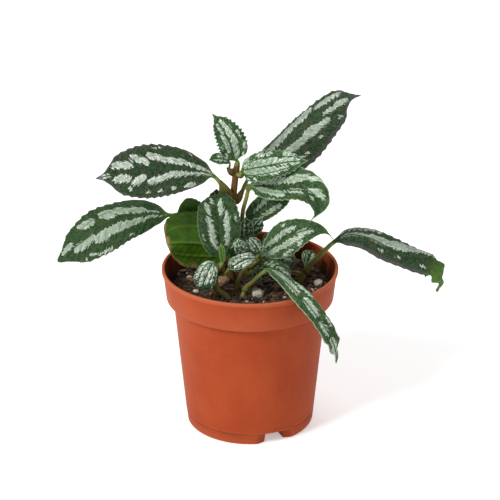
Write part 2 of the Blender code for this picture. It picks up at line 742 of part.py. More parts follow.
def leaf_path(leaf, stems):
    """Path from the stem's surface along the stalk and the midrib, and the blade's start on it."""
    stem = stems[leaf.stem]
    path = Path(stem.points)
    following = np.array((*leaf.via, *leaf.spine)[0], float)
    if leaf.height is None:
        share = 1.0
        out = path.along(share)
        start = path.at(share) + out * GAP
    else:
        share = path.share_at_height(leaf.height)
        out = square_to(following - path.at(share), path.along(share))
        start = path.at(share) + out * (stem.radius(share) + GAP)
    start = start + out * STALK_SEAT
    whole = Path([start, start + out * STALK_START, *leaf.via, *leaf.spine])
    whole.slopes[0] = out * whole.length
    return whole, whole.shares[2 + len(leaf.via)]


def leaf_frames(path, shares, upper_side, middle):
    """Upward and sideways unit vectors at each share, carried along from the blade's middle."""
    count = len(shares)
    up = [None] * count
    up[middle] = square_to(upper_side, path.along(shares[middle]))
    for i in range(middle + 1, count):
        up[i] = square_to(up[i - 1], path.along(shares[i]))
    for i in range(middle - 1, -1, -1):
        up[i] = square_to(up[i + 1], path.along(shares[i]))
    return up


def build_leaf(leaf, stems):
    """Leaf as one closed body: a round stalk that widens into a thin toothed blade."""
    path, blade_start = leaf_path(leaf, stems)
    stations = 2 * leaf.teeth
    stalk = list(np.linspace(0.0, blade_start, leaf.stalk_rings + 1)[:-1])
    blade = [blade_start + (1.0 - blade_start) * i / stations for i in range(stations + 1)]
    shares = stalk + blade
    middle = len(stalk) + stations // 2
    ups = leaf_frames(path, shares, facing(*leaf.face), middle)
    vertices = []
    for i, share in enumerate(shares):
        ahead = path.along(share)
        s = (share - blade_start) / (1.0 - blade_start)
        up = turned(ups[i], ahead, leaf.twist * (max(s, 0.0) - 0.5))
        side = np.cross(up, ahead)
        centre = path.at(share)
        if i < len(stalk):
            radius = np.interp(share, (0.0, blade_start), (leaf.stalk_radius, leaf.neck_radius))
            for corner in STALK_CORNERS:
                turn = math.radians(corner)
                vertices.append(centre + radius * (side * math.cos(turn) + up * math.sin(turn)))
            continue
        half = half_width(leaf, s, i - len(stalk))
        upper, lower = [], []
        for t in RING_SHARES:
            across, rise, lean = blade_point(leaf, half, s, t)
            out = up * math.cos(lean) - side * math.sin(lean)
            point = centre + side * across + up * rise
            keel = MIDRIB_KEEL * leaf.neck_radius * (1.0 - s) if t == 0.0 else 0.0
            upper.append(point + out * BLADE_THICKNESS / 2)
            lower.append(point - out * (BLADE_THICKNESS / 2 + keel))
        vertices += upper + lower[::-1]
    faces = leaf_faces(len(shares))
    return add_object(leaf.name, vertices, faces, leaf.finish)


def leaf_faces(rings):
    """Triangles of a leaf, split along the same diagonals on both faces, with both ends closed."""
    top = len(RING_SHARES)
    columns = 2 * top
    faces = []

    def corner(ring, column):
        return ring * columns + column % columns

    for i in range(rings - 1):
        for j in range(top - 1):
            inward = j < (top - 1) / 2
            for a, b in ((j, j + 1), (columns - 1 - j, columns - 2 - j)):
                near, far, on, off = corner(i, a), corner(i + 1, a), corner(i, b), corner(i + 1, b)
                if inward:
                    faces += [(near, far, off), (near, off, on)]
                else:
                    faces += [(near, far, on), (on, far, off)]
        for j in (top - 1, columns - 1):
            near, far = corner(i, j), corner(i + 1, j)
            on, off = corner(i, j + 1), corner(i + 1, j + 1)
            faces += [(near, far, off), (near, off, on)]
    for ring in (0, rings - 1):
        for j in range(top - 1):
            a, b = corner(ring, j), corner(ring, j + 1)
            c, d = corner(ring, columns - 2 - j), corner(ring, columns - 1 - j)
            faces += [(a, b, c), (a, c, d)]
    return faces


def main():
    """Build the pot, the potting mix, the stems and the leaves."""
    for old in list(bpy.data.objects):
        bpy.data.objects.remove(old, do_unlink=True)
    build_pot()
    soil = build_soil()
    stems = {stem.name: stem for stem in STEMS}
    for stem in STEMS:
        build_stem(stem)
    for lump in LUMPS:
        build_lump(lump)
    cut_soil(soil)
    for leaf in LEAVES:
        build_leaf(leaf, stems)


main()
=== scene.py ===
"""Potted aluminum plant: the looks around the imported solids.

World +Z is up, the origin is on the pot's axis at the height of its feet, and the plant's front is
seen looking along +Y. Sizes are in millimetres; meshes are built in metres.
"""

from __future__ import annotations

import logging
import math
import random
from collections.abc import Callable
from dataclasses import dataclass, field
from enum import Enum
from typing import NamedTuple

import bmesh
import bpy
import numpy as np
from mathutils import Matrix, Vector, noise

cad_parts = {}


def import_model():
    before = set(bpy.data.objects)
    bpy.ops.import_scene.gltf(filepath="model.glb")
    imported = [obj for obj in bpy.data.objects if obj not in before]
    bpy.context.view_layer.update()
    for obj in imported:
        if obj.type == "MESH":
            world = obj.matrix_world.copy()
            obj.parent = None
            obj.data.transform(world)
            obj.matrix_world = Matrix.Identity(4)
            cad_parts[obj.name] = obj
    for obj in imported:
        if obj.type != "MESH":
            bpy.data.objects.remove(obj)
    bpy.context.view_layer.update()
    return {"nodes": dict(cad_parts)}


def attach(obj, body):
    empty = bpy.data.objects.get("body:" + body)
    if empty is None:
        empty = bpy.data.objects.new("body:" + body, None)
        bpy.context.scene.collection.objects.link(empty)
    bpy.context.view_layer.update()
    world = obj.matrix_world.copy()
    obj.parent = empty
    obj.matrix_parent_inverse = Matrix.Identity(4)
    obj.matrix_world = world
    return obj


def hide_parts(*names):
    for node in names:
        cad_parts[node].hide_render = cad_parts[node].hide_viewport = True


log = logging.getLogger("plant")

MM = 0.001
BODY = "root"
SOLID_GAP = 0.3
LATERAL_VEIN = 0.52
VEIN_SLANT = (0.74, 0.67)
OUTSIDE_PATCH = -3.0

Array = np.ndarray
Material = bpy.types.Material
Pair = tuple[float, float]
Colour = tuple[float, float, float]
Place = tuple[float, float, float]
Streak = tuple[float, float, float, float, float]


class Slot(Enum):
    """Material slots of the record."""

    POT = "pot_plastic"
    MIX = "potting_mix"
    PERLITE = "perlite"
    BARK = "bark"
    RED_STEM = "red_stem"
    GREEN_STEM = "green_stem"
    OLD_LEAF = "old_leaf"
    YOUNG_LEAF = "young_leaf"
    PALE_LEAF = "pale_leaf"


class Age(Enum):
    """How a leaf is coloured."""

    BRIGHT = "bright"
    GREY = "grey"
    SOFT = "soft"
    LIGHT = "light"
    YOUNG = "young"
    CRISP = "crisp"
    SHADED = "shaded"
    PALE = "pale"


class Wire:
    """An output socket in an expression: arithmetic on it adds Math nodes."""

    def __init__(self, recipe: Recipe, socket: bpy.types.NodeSocket) -> None:
        """Wrap one output socket.

        Args:
            recipe: the node tree that the socket is in.
            socket: the output socket.
        """
        self.recipe = recipe
        self.socket = socket

    def __add__(self, other: Wire | float) -> Wire:
        """Sum."""
        return self.recipe.math("ADD", self, other)

    def __sub__(self, other: Wire | float) -> Wire:
        """Difference."""
        return self.recipe.math("SUBTRACT", self, other)

    def __rsub__(self, other: Wire | float) -> Wire:
        """Difference from a number."""
        return self.recipe.math("SUBTRACT", other, self)

    def __mul__(self, other: Wire | float) -> Wire:
        """Product."""
        return self.recipe.math("MULTIPLY", self, other)

    def __truediv__(self, other: Wire | float) -> Wire:
        """Quotient."""
        return self.recipe.math("DIVIDE", self, other)

    def __abs__(self) -> Wire:
        """Size without its sign."""
        return self.recipe.math("ABSOLUTE", self)

    def smooth(self, low: float, high: float) -> Wire:
        """Rise from 0 at low to 1 at high, eased at both ends."""
        span = {"Value": self, "From Min": low, "From Max": high}
        return self.recipe.node("ShaderNodeMapRange", {"interpolation_type": "SMOOTHSTEP"}, span)

    __radd__ = __add__
    __rmul__ = __mul__


Feed = Wire | float | tuple


class Recipe:
    """The node tree of one material, with its main shader."""

    def __init__(self, name: str) -> None:
        """Start a material.

        Args:
            name: the material's name.
        """
        self.material = bpy.data.materials.new(name)
        self.material.use_nodes = True
        self.tree = self.material.node_tree
        self.shader = self.tree.nodes["Principled BSDF"]

    def feed(self, socket: bpy.types.NodeSocket, value: Feed) -> None:
        """Link a wire to an input socket, or set its value.

        Args:
            socket: the input socket.
            value: a wire, a number, a vector or a colour.
        """
        if isinstance(value, Wire):
            self.tree.links.new(value.socket, socket)
        elif socket.type == "RGBA":
            socket.default_value = (*value[:3], 1.0)
        else:
            socket.default_value = value

    def node(
        self, kind: str, settings: dict | None = None, inputs: dict | None = None, out: int | str = 0
    ) -> Wire:
        """Add a node.

        Args:
            kind: the node's type.
            settings: its properties, set before anything is fed in.
            inputs: values or wires of its sockets, by name or number.
            out: which output to return.

        Returns:
            The output as a wire.
        """
        made = self.tree.nodes.new(kind)
        for key, value in (settings or {}).items():
            setattr(made, key, value)
        for key, value in (inputs or {}).items():
            self.feed(made.inputs[key], value)
        return Wire(self, made.outputs[out])

    def math(self, operation: str, *values: Wire | float) -> Wire:
        """Math node on one or two values."""
        return self.node("ShaderNodeMath", {"operation": operation}, dict(enumerate(values)))

    def vector(self, operation: str, *values: Feed) -> Wire:
        """Vector Math node on vectors."""
        return self.node("ShaderNodeVectorMath", {"operation": operation}, dict(enumerate(values)))

    def mix(self, factor: Feed, first: Feed, second: Feed) -> Wire:
        """Colour between two colours: the first at factor 0, the second at 1."""
        return self.node("ShaderNodeMix", {"data_type": "RGBA"}, {0: factor, 6: first, 7: second}, 2)

    def shaded(self, colour: Feed, value: Wire) -> Wire:
        """Colour times a value."""
        return self.node("ShaderNodeVectorMath", {"operation": "SCALE"}, {0: colour, "Scale": value})

    def attribute(self, name: str, out: str = "Fac") -> Wire:
        """A field that the mesh carries."""
        return self.node("ShaderNodeAttribute", {"attribute_name": name}, out=out)

    def split(self, vector: Wire) -> tuple[Wire, Wire, Wire]:
        """The three parts of a vector."""
        made = self.node("ShaderNodeSeparateXYZ", inputs={0: vector}).socket.node
        return tuple(Wire(self, made.outputs[k]) for k in range(3))

    def join(self, x: Feed, y: Feed, z: Feed) -> Wire:
        """A vector from three values."""
        return self.node("ShaderNodeCombineXYZ", inputs={0: x, 1: y, 2: z})

    def place(self) -> Wire:
        """Place on the object in millimetres."""
        spot = self.node("ShaderNodeTexCoord", out="Object")
        return self.vector("MULTIPLY", spot, (1.0 / MM,) * 3)

    def noise(self, vector: Wire, scale: float, detail: float = 2.0, roughness: float = 0.5) -> Wire:
        """Noise value.

        Args:
            vector: place in millimetres.
            scale: waves to a millimetre.
            detail: how many finer layers.
            roughness: how strong the finer layers are.

        Returns:
            The noise, about 0.5.
        """
        inputs = {"Vector": vector, "Scale": scale, "Detail": detail, "Roughness": roughness}
        return self.node("ShaderNodeTexNoise", inputs=inputs)

    def net(self, vector: Wire, scale: float) -> Wire:
        """Distance to the nearest line of a net of cells."""
        settings = {"feature": "DISTANCE_TO_EDGE"}
        return self.node("ShaderNodeTexVoronoi", settings, {"Vector": vector, "Scale": scale})

    def comb(self, over: Wire, spacing: float, wander: Wire, edges: Pair) -> Wire:
        """Even lines across a field.

        Args:
            over: the field, in millimetres.
            spacing: distance between lines.
            wander: how far the lines stray, in spacings.
            edges: half widths of a line at full and at no strength, in half spacings.

        Returns:
            1 on a line and 0 between two.
        """
        saw = abs(self.math("FRACT", over / spacing + wander) - 0.5) * 2.0
        return 1.0 - saw.smooth(*edges)

    def bump(self, height: Wire, depth: float, strength: float = 1.0, under: Wire | None = None) -> Wire:
        """Normal of a height field.

        Args:
            height: the field, from 0 to 1.
            depth: what 1 stands for, in millimetres.
            strength: the node's strength.
            under: a normal to start from.

        Returns:
            The normal.
        """
        inputs = {"Height": height, "Distance": depth * MM, "Strength": strength}
        if under:
            inputs["Normal"] = under
        return self.node("ShaderNodeBump", inputs=inputs)

    def finish(self, **sockets: Feed) -> Material:
        """Feed the shader.

        Args:
            **sockets: values by socket name, with spaces as underscores.

        Returns:
            The finished material.
        """
        for name, value in sockets.items():
            self.feed(self.shader.inputs[name.replace("_", " ")], value)
        return self.material


@dataclass(frozen=True)
class PotPlastic:
    """Thin moulded plastic, terracotta in colour, a little dusty and stained by the mix, with painted shade
    inside and along the crease by the foot, and a painted highlight on its worn edges.
    """

    body: Colour = (0.335, 0.053, 0.016)
    warm: Colour = (0.375, 0.066, 0.021)
    # lip: lighter orange on the worn lip and edges, which also serves as a painted highlight there
    lip: Colour = (0.55, 0.17, 0.085)
    # stain: soil stains from the mix, and also the colour of the painted shade inside the pot and in the
    # crease by the foot
    stain: Colour = (0.07, 0.03, 0.018)
    dust: Colour = (0.46, 0.19, 0.11)
    splash_heights: Pair = (65.0, 74.0)
    grain_depth: float = 0.03
    heave_depth: float = 0.5
    gloss: float = 0.05

    def make(self, name: str) -> Material:
        """Build the material.

        Args:
            name: the material's name.

        Returns:
            The material.
        """
        r = Recipe(name)
        place = r.place()
        _, _, z = r.split(place)
        cloud = r.noise(place, 0.05, 3.0)
        drawn = r.noise(r.vector("MULTIPLY", place, (1.0, 1.0, 0.06)), 0.9, 3.0)
        colour = r.mix((cloud * 0.85 + drawn * 0.15).smooth(0.35, 0.65), self.body, self.warm)
        specks = r.noise(place, 2.2, 2.0).smooth(0.66, 0.74)
        colour = r.mix(specks * 0.22, colour, self.dust)
        rubbed = r.vector("MULTIPLY", place, (0.5, 0.5, 2.4))
        scuffs = r.noise(rubbed, 0.7, 4.0, 0.6).smooth(0.6, 0.72)
        colour = r.mix(scuffs * 0.1, colour, self.dust)
        inside = r.attribute("inside")
        # inside and under the pot the stain colour goes on at no less than 0.3 of the inside field: painted
        # shade, with real splashes of mix on top
        splash = r.noise(place, 0.6, 4.0, 0.65) + (1.0 - z.smooth(*self.splash_heights)) * 0.3
        colour = r.mix(inside * (splash.smooth(0.5, 0.7) * 0.62 + 0.3), colour, self.stain)
        # painted shade darkens the crease by the foot
        colour = r.mix(r.attribute("groove"), colour, self.stain)
        # the worn lip and edges lighten, with a painted highlight on them
        colour = r.mix(r.attribute("edge") * 0.55, colour, self.lip)
        rough = 0.46 + cloud * 0.1 + specks * 0.2 + scuffs * 0.12 + inside * 0.2
        heave = r.bump(r.noise(place, 0.12, 1.0), self.heave_depth, 0.35)
        normal = r.bump(r.noise(place, 3.5, 2.0), self.grain_depth, 0.5, heave)
        return r.finish(Base_Color=colour, Roughness=rough, Normal=normal, Specular_IOR_Level=self.gloss)


@dataclass(frozen=True)
class Earth:
    """Rough brown stuff: the mix itself, its crumbs, bark and fibres."""

    dark: Colour
    light: Colour
    glint: Colour
    glints: float
    grain: float
    depth: float

    def make(self, name: str) -> Material:
        """Build the material.

        Args:
            name: the material's name.

        Returns:
            The material.
        """
        r = Recipe(name)
        place = r.place()
        cloud = r.noise(place, self.grain, 4.0, 0.65)
        lit = cloud * 0.75 + r.attribute("tone") * 0.35
        colour = r.mix(lit.smooth(0.34, 0.8), self.dark, self.light)
        bright = r.noise(place, self.grain * 2.3, 2.0).smooth(0.62, 0.72)
        colour = r.mix(bright * self.glints, colour, self.glint)
        fine = r.noise(place, self.grain * 3.0, 4.0, 0.7)
        return r.finish(Base_Color=colour, Roughness=0.82 + cloud * 0.16, Normal=r.bump(fine, self.depth))


@dataclass(frozen=True)
class Grain:
    """White perlite: a foamy grain with pits, a little stained."""

    pale: Colour = (0.8, 0.77, 0.7)
    pit: Colour = (0.42, 0.33, 0.24)
    brown: Colour = (0.55, 0.36, 0.24)
    pit_depth: float = 0.25

    def make(self, name: str) -> Material:
        """Build the material.

        Args:
            name: the material's name.

        Returns:
            The material.
        """
        r = Recipe(name)
        place = r.place()
        cells = r.net(place, 1.6)
        pits = 1.0 - cells.smooth(0.02, 0.2)
        stain = r.noise(place, 0.9, 3.0).smooth(0.48, 0.72)
        colour = r.mix(pits * 0.45 + stain * 0.35, self.pale, self.pit)
        colour = r.mix(r.attribute("tone") * 0.55, colour, self.brown)
        normal = r.bump(cells.smooth(0.0, 0.3), self.pit_depth)
        return r.finish(Base_Color=colour, Roughness=0.85 + pits * 0.1, Normal=normal)


@dataclass(frozen=True)
class StemSkin:
    """Soft stem or stalk, with fine lengthwise streaks; its tone field turns foot into top."""

    foot: Colour
    top: Colour
    streak: Colour
    roughness: float = 0.42
    streak_depth: float = 0.12
    gloss: float = 0.14

    def make(self, name: str) -> Material:
        """Build the material.

        Args:
            name: the material's name.

        Returns:
            The material.
        """
        r = Recipe(name)
        flat = r.attribute("flat", "Vector")
        lines = r.noise(r.vector("MULTIPLY", flat, (0.16, 2.2, 1.0)), 1.0, 3.0, 0.6)
        colour = r.mix(r.attribute("tone") + (lines - 0.5) * 0.5, self.foot, self.top)
        colour = r.mix(lines.smooth(0.55, 0.75) * 0.5, colour, self.streak)
        blotch = r.noise(r.place(), 0.5, 3.0).smooth(0.5, 0.75)
        colour = r.mix(blotch * 0.3, colour, self.streak)
        return r.finish(
            Base_Color=colour, Roughness=self.roughness + lines * 0.15,
            Normal=r.bump(lines, self.streak_depth, 0.7), Specular_IOR_Level=self.gloss,
            Subsurface_Weight=0.12, Subsurface_Scale=0.002,
        )


@dataclass(frozen=True)
class LeafFace:
    """Upper face of a leaf: silvery raised patches on deep green, with sunken veins.

    The mesh carries the fields: `silver` is the depth inside a patch, `blade` the share of the
    length, the share of the half width and the distance from the margin, and `flat` the distance
    along and from the midrib and a number for each leaf. `fresh` and `dry` are how far the leaf
    takes on those colours.
    """

    deep: Colour
    deep_light: Colour
    olive: Colour
    silver: Colour
    silver_shade: Colour
    # margin: rim colour along the edge; dark on older leaves, and where pale, partly the leaf's own rim and
    # partly a painted highlight
    margin: Colour
    margin_strength: float = 0.35
    net_strength: float = 0.35
    specks: float = 0.5
    jagged: float = 2.7
    teeth: float = 0.9
    vein_spacing: float = 2.7
    margin_width: float = 0.5
    vein_angle: float = 48.0
    tooth_spacing: float = 1.55
    fresh: Colour = (0.075, 0.17, 0.02)
    dry: Colour = (0.36, 0.27, 0.15)
    relief_depth: float = 0.55
    gloss: float = 0.2

    def veins(self, r: Recipe, over: Wire, across: Wire, flat: Wire) -> tuple[Wire, Wire]:
        """Lines on the blade.

        Args:
            r: the material's recipe.
            over: distance square to the side veins.
            across: share of the half width.
            flat: place on the flattened blade.

        Returns:
            The side and lateral veins, and the fine net between them.
        """
        ribs = r.comb(over, self.vein_spacing, r.noise(flat, 0.25) * 0.5, (0.02, 0.24))
        net = 1.0 - r.net(flat, 0.95).smooth(0.02, 0.16)
        lateral = 1.0 - abs(abs(across) - LATERAL_VEIN).smooth(0.015, 0.06)
        return r.math("MAXIMUM", ribs * 0.7, lateral), net

    def make(self, name: str) -> Material:
        """Build the material.

        Args:
            name: the material's name.

        Returns:
            The material.
        """
        r = Recipe(name)
        share, across, margin = r.split(r.attribute("blade", "Vector"))
        flat = r.attribute("flat", "Vector")
        x, y, number = r.split(flat)
        reach = abs(y)
        slant = math.radians(self.vein_angle)
        over = x * math.sin(slant) - reach * math.cos(slant)
        along = x * math.cos(slant) + reach * math.sin(slant)
        side = y.smooth(-0.05, 0.05) * 9.0 + number
        grain = r.noise(flat, 1.75, 3.0, 0.7)
        mottle = r.noise(flat, 0.75, 3.0, 0.65)
        cloud = r.noise(flat, 0.26, 3.0)
        lines, net = self.veins(r, over, across, flat)
        midrib = 1.0 - reach.smooth(0.1, 0.5)

        barbs = r.noise(r.join(over, along * 0.26, side), 1.0, 3.0, 0.65) - 0.5
        frill = r.noise(flat, 1.9, 2.0) - 0.5
        saw = r.math("FRACT", over / self.tooth_spacing + r.noise(flat, 0.45) * 1.6) - 0.5
        patch = r.attribute("silver") + (barbs * self.jagged + saw * self.teeth + frill * 1.2)
        outer = abs(across).smooth(0.55, 0.75) * (1.0 - abs(across).smooth(0.93, 1.0))
        dust = (r.noise(flat, 1.3, 2.0, 0.6) + outer * 0.05).smooth(0.7, 0.75) * self.specks
        mask = r.math("MAXIMUM", patch.smooth(-0.14, 0.16), dust) * (1.0 - midrib * 0.9)

        deep = r.mix(mottle.smooth(0.36, 0.66), self.deep, self.deep_light)
        deep = r.mix(cloud.smooth(0.48, 0.66) * 0.8, deep, self.olive)
        deep = r.mix(net * 0.25, deep, self.deep_light)
        deep = r.shaded(deep, grain * 3.5 - 0.8)

        bright = share.smooth(0.15, 0.6) * 0.55 + mottle.smooth(0.3, 0.7) * 0.45
        fringe = 1.0 - abs(patch - 0.35).smooth(0.1, 0.6)
        bright = bright * 0.62 + fringe * 0.52 - barbs * 1.2
        silver = r.mix(bright.smooth(0.0, 1.0), self.silver_shade, self.silver)
        veined = net * (0.5 * self.net_strength) + lines * self.net_strength
        silver = r.shaded(r.mix(veined, silver, self.olive), 0.18 + grain * 1.56)

        colour = r.mix(midrib * 0.4, r.mix(mask, deep, silver), self.deep_light)
        # rim along the margin: dark on older leaves; on the others pale, partly the leaf's own colour and
        # partly a painted highlight
        inward = (margin + frill * self.margin_width).smooth(0.1, self.margin_width)
        colour = r.mix((1.0 - inward) * self.margin_strength, colour, self.margin)
        colour = r.mix(r.attribute("fresh") * (1.0 - mask * 0.7), colour, self.fresh)
        colour = r.mix(r.attribute("dry"), colour, self.dry)
        height = mask * 0.45 - lines * 0.25 - net * 0.25 + mottle * 0.35 + grain * 0.25
        return r.finish(
            Base_Color=colour, Roughness=0.42 + mask * 0.14 + mottle * 0.12,
            Normal=r.bump(height, self.relief_depth), Specular_IOR_Level=self.gloss,
            Subsurface_Weight=0.04, Subsurface_Scale=0.001,
        )


@dataclass(frozen=True)
class LeafBack:
    """Underside of a leaf: paler green with raised veins."""

    flesh: Colour
    shade: Colour
    vein: Colour
    dry: Colour = (0.36, 0.24, 0.1)
    vein_strength: float = 0.6
    vein_spacing: float = 2.9
    relief_depth: float = 0.2
    gloss: float = 0.15

    def make(self, name: str) -> Material:
        """Build the material.

        Args:
            name: the material's name.

        Returns:
            The material.
        """
        r = Recipe(name)
        _, across, _ = r.split(r.attribute("blade", "Vector"))
        flat = r.attribute("flat", "Vector")
        x, y, _ = r.split(flat)
        reach = abs(y)
        midrib = 1.0 - reach.smooth(0.25, 0.95)
        lateral = 1.0 - abs(abs(across) - LATERAL_VEIN).smooth(0.02, 0.09)
        over = x * VEIN_SLANT[0] - reach * VEIN_SLANT[1]
        ribs = r.comb(over, self.vein_spacing, r.noise(flat, 0.2) * 0.6, (0.02, 0.25)) * 0.45
        net = (1.0 - r.net(flat, 0.9).smooth(0.02, 0.12)) * 0.3
        lines = r.math("MAXIMUM", r.math("MAXIMUM", midrib, lateral), r.math("MAXIMUM", ribs, net))
        cloud = r.noise(flat, 0.22, 3.0)
        colour = r.mix(cloud.smooth(0.3, 0.7), self.flesh, self.shade)
        colour = r.mix(lines * self.vein_strength, colour, self.vein)
        colour = r.mix(r.attribute("dry"), colour, self.dry)
        height = lines + r.noise(flat, 3.0, 2.0) * 0.15
        return r.finish(
            Base_Color=colour, Roughness=0.48 + cloud * 0.1, Normal=r.bump(height, self.relief_depth),
            Specular_IOR_Level=self.gloss, Subsurface_Weight=0.06, Subsurface_Scale=0.002,
        )


Look = PotPlastic | Earth | Grain | StemSkin | LeafFace | LeafBack
Finishes = dict[str, Material]

DEEP_BACK = LeafBack((0.085, 0.13, 0.055), (0.055, 0.09, 0.038), (0.16, 0.22, 0.1))
SOFT_BACK = LeafBack((0.09, 0.15, 0.05), (0.06, 0.1, 0.035), (0.18, 0.26, 0.1))
LIGHT_BACK = LeafBack((0.11, 0.18, 0.065), (0.075, 0.13, 0.045), (0.22, 0.31, 0.13))
YOUNG_BACK = LeafBack((0.15, 0.24, 0.09), (0.1, 0.17, 0.06), (0.28, 0.38, 0.18))
SHADED_BACK = LeafBack((0.08, 0.13, 0.04), (0.05, 0.09, 0.03), (0.16, 0.22, 0.09))
PALE_BACK = LeafBack(
    (0.046, 0.13, 0.005), (0.026, 0.076, 0.003), (0.13, 0.25, 0.028), (0.28, 0.2, 0.09), 0.32
)
OLD_GREENS = ((0.01, 0.03, 0.01), (0.04, 0.086, 0.034), (0.056, 0.06, 0.028))

LOOKS: dict[str, Look] = {
    "leaf_face_bright": LeafFace(
        *OLD_GREENS, (0.76, 0.85, 0.76), (0.31, 0.41, 0.32), (0.1, 0.092, 0.092), 0.7, margin_width=1.3
    ),
    "leaf_face_grey": LeafFace(
        *OLD_GREENS, (0.52, 0.61, 0.52), (0.26, 0.34, 0.26), (0.095, 0.088, 0.092), 0.75, margin_width=2.3
    ),
    "leaf_face_soft": LeafFace(
        (0.01, 0.036, 0.009), (0.036, 0.09, 0.026), (0.048, 0.072, 0.02),
        (0.52, 0.63, 0.52), (0.25, 0.35, 0.24), (0.24, 0.33, 0.19), 0.5,
    ),
    "leaf_face_light": LeafFace(
        (0.016, 0.056, 0.015), (0.075, 0.155, 0.058), (0.064, 0.11, 0.036),
        (0.64, 0.76, 0.62), (0.29, 0.4, 0.28), (0.42, 0.56, 0.36), 0.75,
    ),
    "leaf_face_young": LeafFace(
        (0.012, 0.05, 0.013), (0.062, 0.155, 0.05), (0.055, 0.11, 0.032),
        (0.74, 0.86, 0.73), (0.29, 0.42, 0.29), (0.42, 0.55, 0.37), 0.75, 0.85, 0.8, 2.2, 0.7, 2,
    ),
    "leaf_face_crisp": LeafFace(
        (0.008, 0.04, 0.012), (0.035, 0.105, 0.034), (0.01, 0.05, 0.015),
        (0.8, 0.9, 0.78), (0.42, 0.56, 0.41), (0.5, 0.62, 0.46), 0.75, 1, 0.8, 1.6, 0.5, 2.1,
    ),
    "leaf_face_shaded": LeafFace(
        (0.018, 0.052, 0.014), (0.055, 0.115, 0.034), (0.05, 0.082, 0.024),
        (0.46, 0.58, 0.43), (0.24, 0.35, 0.21), (0.3, 0.4, 0.2), 0.6,
    ),
    "leaf_face_pale": LeafFace(
        (0.06, 0.14, 0.02), (0.1, 0.22, 0.035), (0.08, 0.15, 0.03),
        (0.36, 0.46, 0.28), (0.18, 0.27, 0.12), (0.26, 0.34, 0.15), 0.6,
    ),
    "leaf_back_bright": DEEP_BACK,
    "leaf_back_grey": DEEP_BACK,
    "leaf_back_soft": SOFT_BACK,
    "leaf_back_light": LIGHT_BACK,
    "leaf_back_young": YOUNG_BACK,
    "leaf_back_crisp": YOUNG_BACK,
    "leaf_back_shaded": SHADED_BACK,
    "leaf_back_pale": PALE_BACK,
    "pot_plastic": PotPlastic(),
    "potting_mix": Earth((0.018, 0.009, 0.005), (0.085, 0.042, 0.022), (0.3, 0.2, 0.12), 0.25, 0.9, 0.5),
    "mix_crumb": Earth((0.016, 0.008, 0.005), (0.12, 0.06, 0.032), (0.3, 0.2, 0.13), 0.2, 1.1, 0.35),
    "bark_chip": Earth((0.045, 0.018, 0.009), (0.22, 0.105, 0.05), (0.45, 0.3, 0.18), 0.3, 1.2, 0.3),
    "bark_ball": Earth((0.06, 0.026, 0.012), (0.3, 0.17, 0.095), (0.72, 0.58, 0.46), 0.9, 0.75, 0.5),
    "mix_fibre": Earth((0.05, 0.022, 0.01), (0.28, 0.16, 0.08), (0.5, 0.38, 0.24), 0.2, 1, 0.1),
    "perlite_grain": Grain(),
    "red_stem": StemSkin((0.088, 0.062, 0.01), (0.135, 0.054, 0.014), (0.15, 0.13, 0.026)),
    "brown_stem": StemSkin((0.17, 0.115, 0.036), (0.19, 0.18, 0.044), (0.27, 0.19, 0.075)),
    "green_stem": StemSkin((0.16, 0.12, 0.03), (0.22, 0.24, 0.06), (0.34, 0.3, 0.12)),
    "stipule": StemSkin((0.06, 0.045, 0.012), (0.075, 0.085, 0.018), (0.12, 0.1, 0.03)),
    "leaf_stalk": StemSkin((0.15, 0.15, 0.035), (0.2, 0.25, 0.06), (0.32, 0.33, 0.12)),
}


def placed(name: str, data: bpy.types.ID) -> bpy.types.Object:
    """Make an object and put it in the scene.

    Args:
        name: its name.
        data: its mesh, light or camera.

    Returns:
        The object.
    """
    made = bpy.data.objects.new(name, data)
    bpy.context.scene.collection.objects.link(made)
    return made


@dataclass
class Form:
    """Points and faces of a piece in the making, in millimetres."""

    points: Array
    faces: list[tuple[int, ...]]
    finish_of: Array | None = None
    fields: dict[str, Array] = field(default_factory=dict)

    def piece(
        self, name: str, finishes: list[Material], slot: Slot, stands_for: tuple[str, ...] = ()
    ) -> bpy.types.Object:
        """Turn the form into a piece that rides on the plant's body.

        Args:
            name: the piece's name.
            finishes: its materials, in the order that finish_of counts them.
            slot: the record's slot for its finish; not used.
            stands_for: the solids that it replaces.

        Returns:
            The object.
        """
        mesh = bpy.data.meshes.new(name)
        mesh.from_pydata((self.points * MM).tolist(), [], self.faces)
        for finish in finishes:
            mesh.materials.append(finish)
        if self.finish_of is not None:
            mesh.polygons.foreach_set("material_index", self.finish_of.astype(np.int32))
        for key, values in self.fields.items():
            kind, item = ("FLOAT", "value") if values.ndim == 1 else ("FLOAT_VECTOR", "vector")
            made = mesh.attributes.new(key, kind, "POINT")
            made.data.foreach_set(item, values.astype(np.float32).ravel())
        mesh.shade_smooth()
        mesh.update()
        piece = placed(name, mesh)
        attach(piece, BODY)
        if stands_for:
            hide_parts(*stands_for)
        log.info("%s: %d faces", name, len(mesh.polygons))
        return piece


def joined(forms: list[Form]) -> Form:
    """One form from several that have the same fields.

    Args:
        forms: the forms to join.

    Returns:
        The joined form.
    """
    faces: list[tuple[int, ...]] = []
    start = 0
    for form in forms:
        faces += [tuple(start + n for n in face) for face in form.faces]
        start += len(form.points)
    fields = {key: np.concatenate([form.fields[key] for form in forms]) for key in forms[0].fields}
    return Form(np.concatenate([form.points for form in forms]), faces, None, fields)


def ring_faces(rings: int, columns: int, closed: bool = False) -> list[tuple[int, ...]]:
    """Quads between neighbouring rings of points.

    Args:
        rings: how many rings.
        columns: points in a ring.
        closed: whether the last ring joins the first.

    Returns:
        The faces.
    """
    i, j = np.meshgrid(np.arange(rings if closed else rings - 1), np.arange(columns), indexing="ij")
    k, n = (i + 1) % rings, (j + 1) % columns
    quads = np.stack([i * columns + j, k * columns + j, k * columns + n, i * columns + n], -1)
    return [tuple(face) for face in quads.reshape(-1, 4).tolist()]


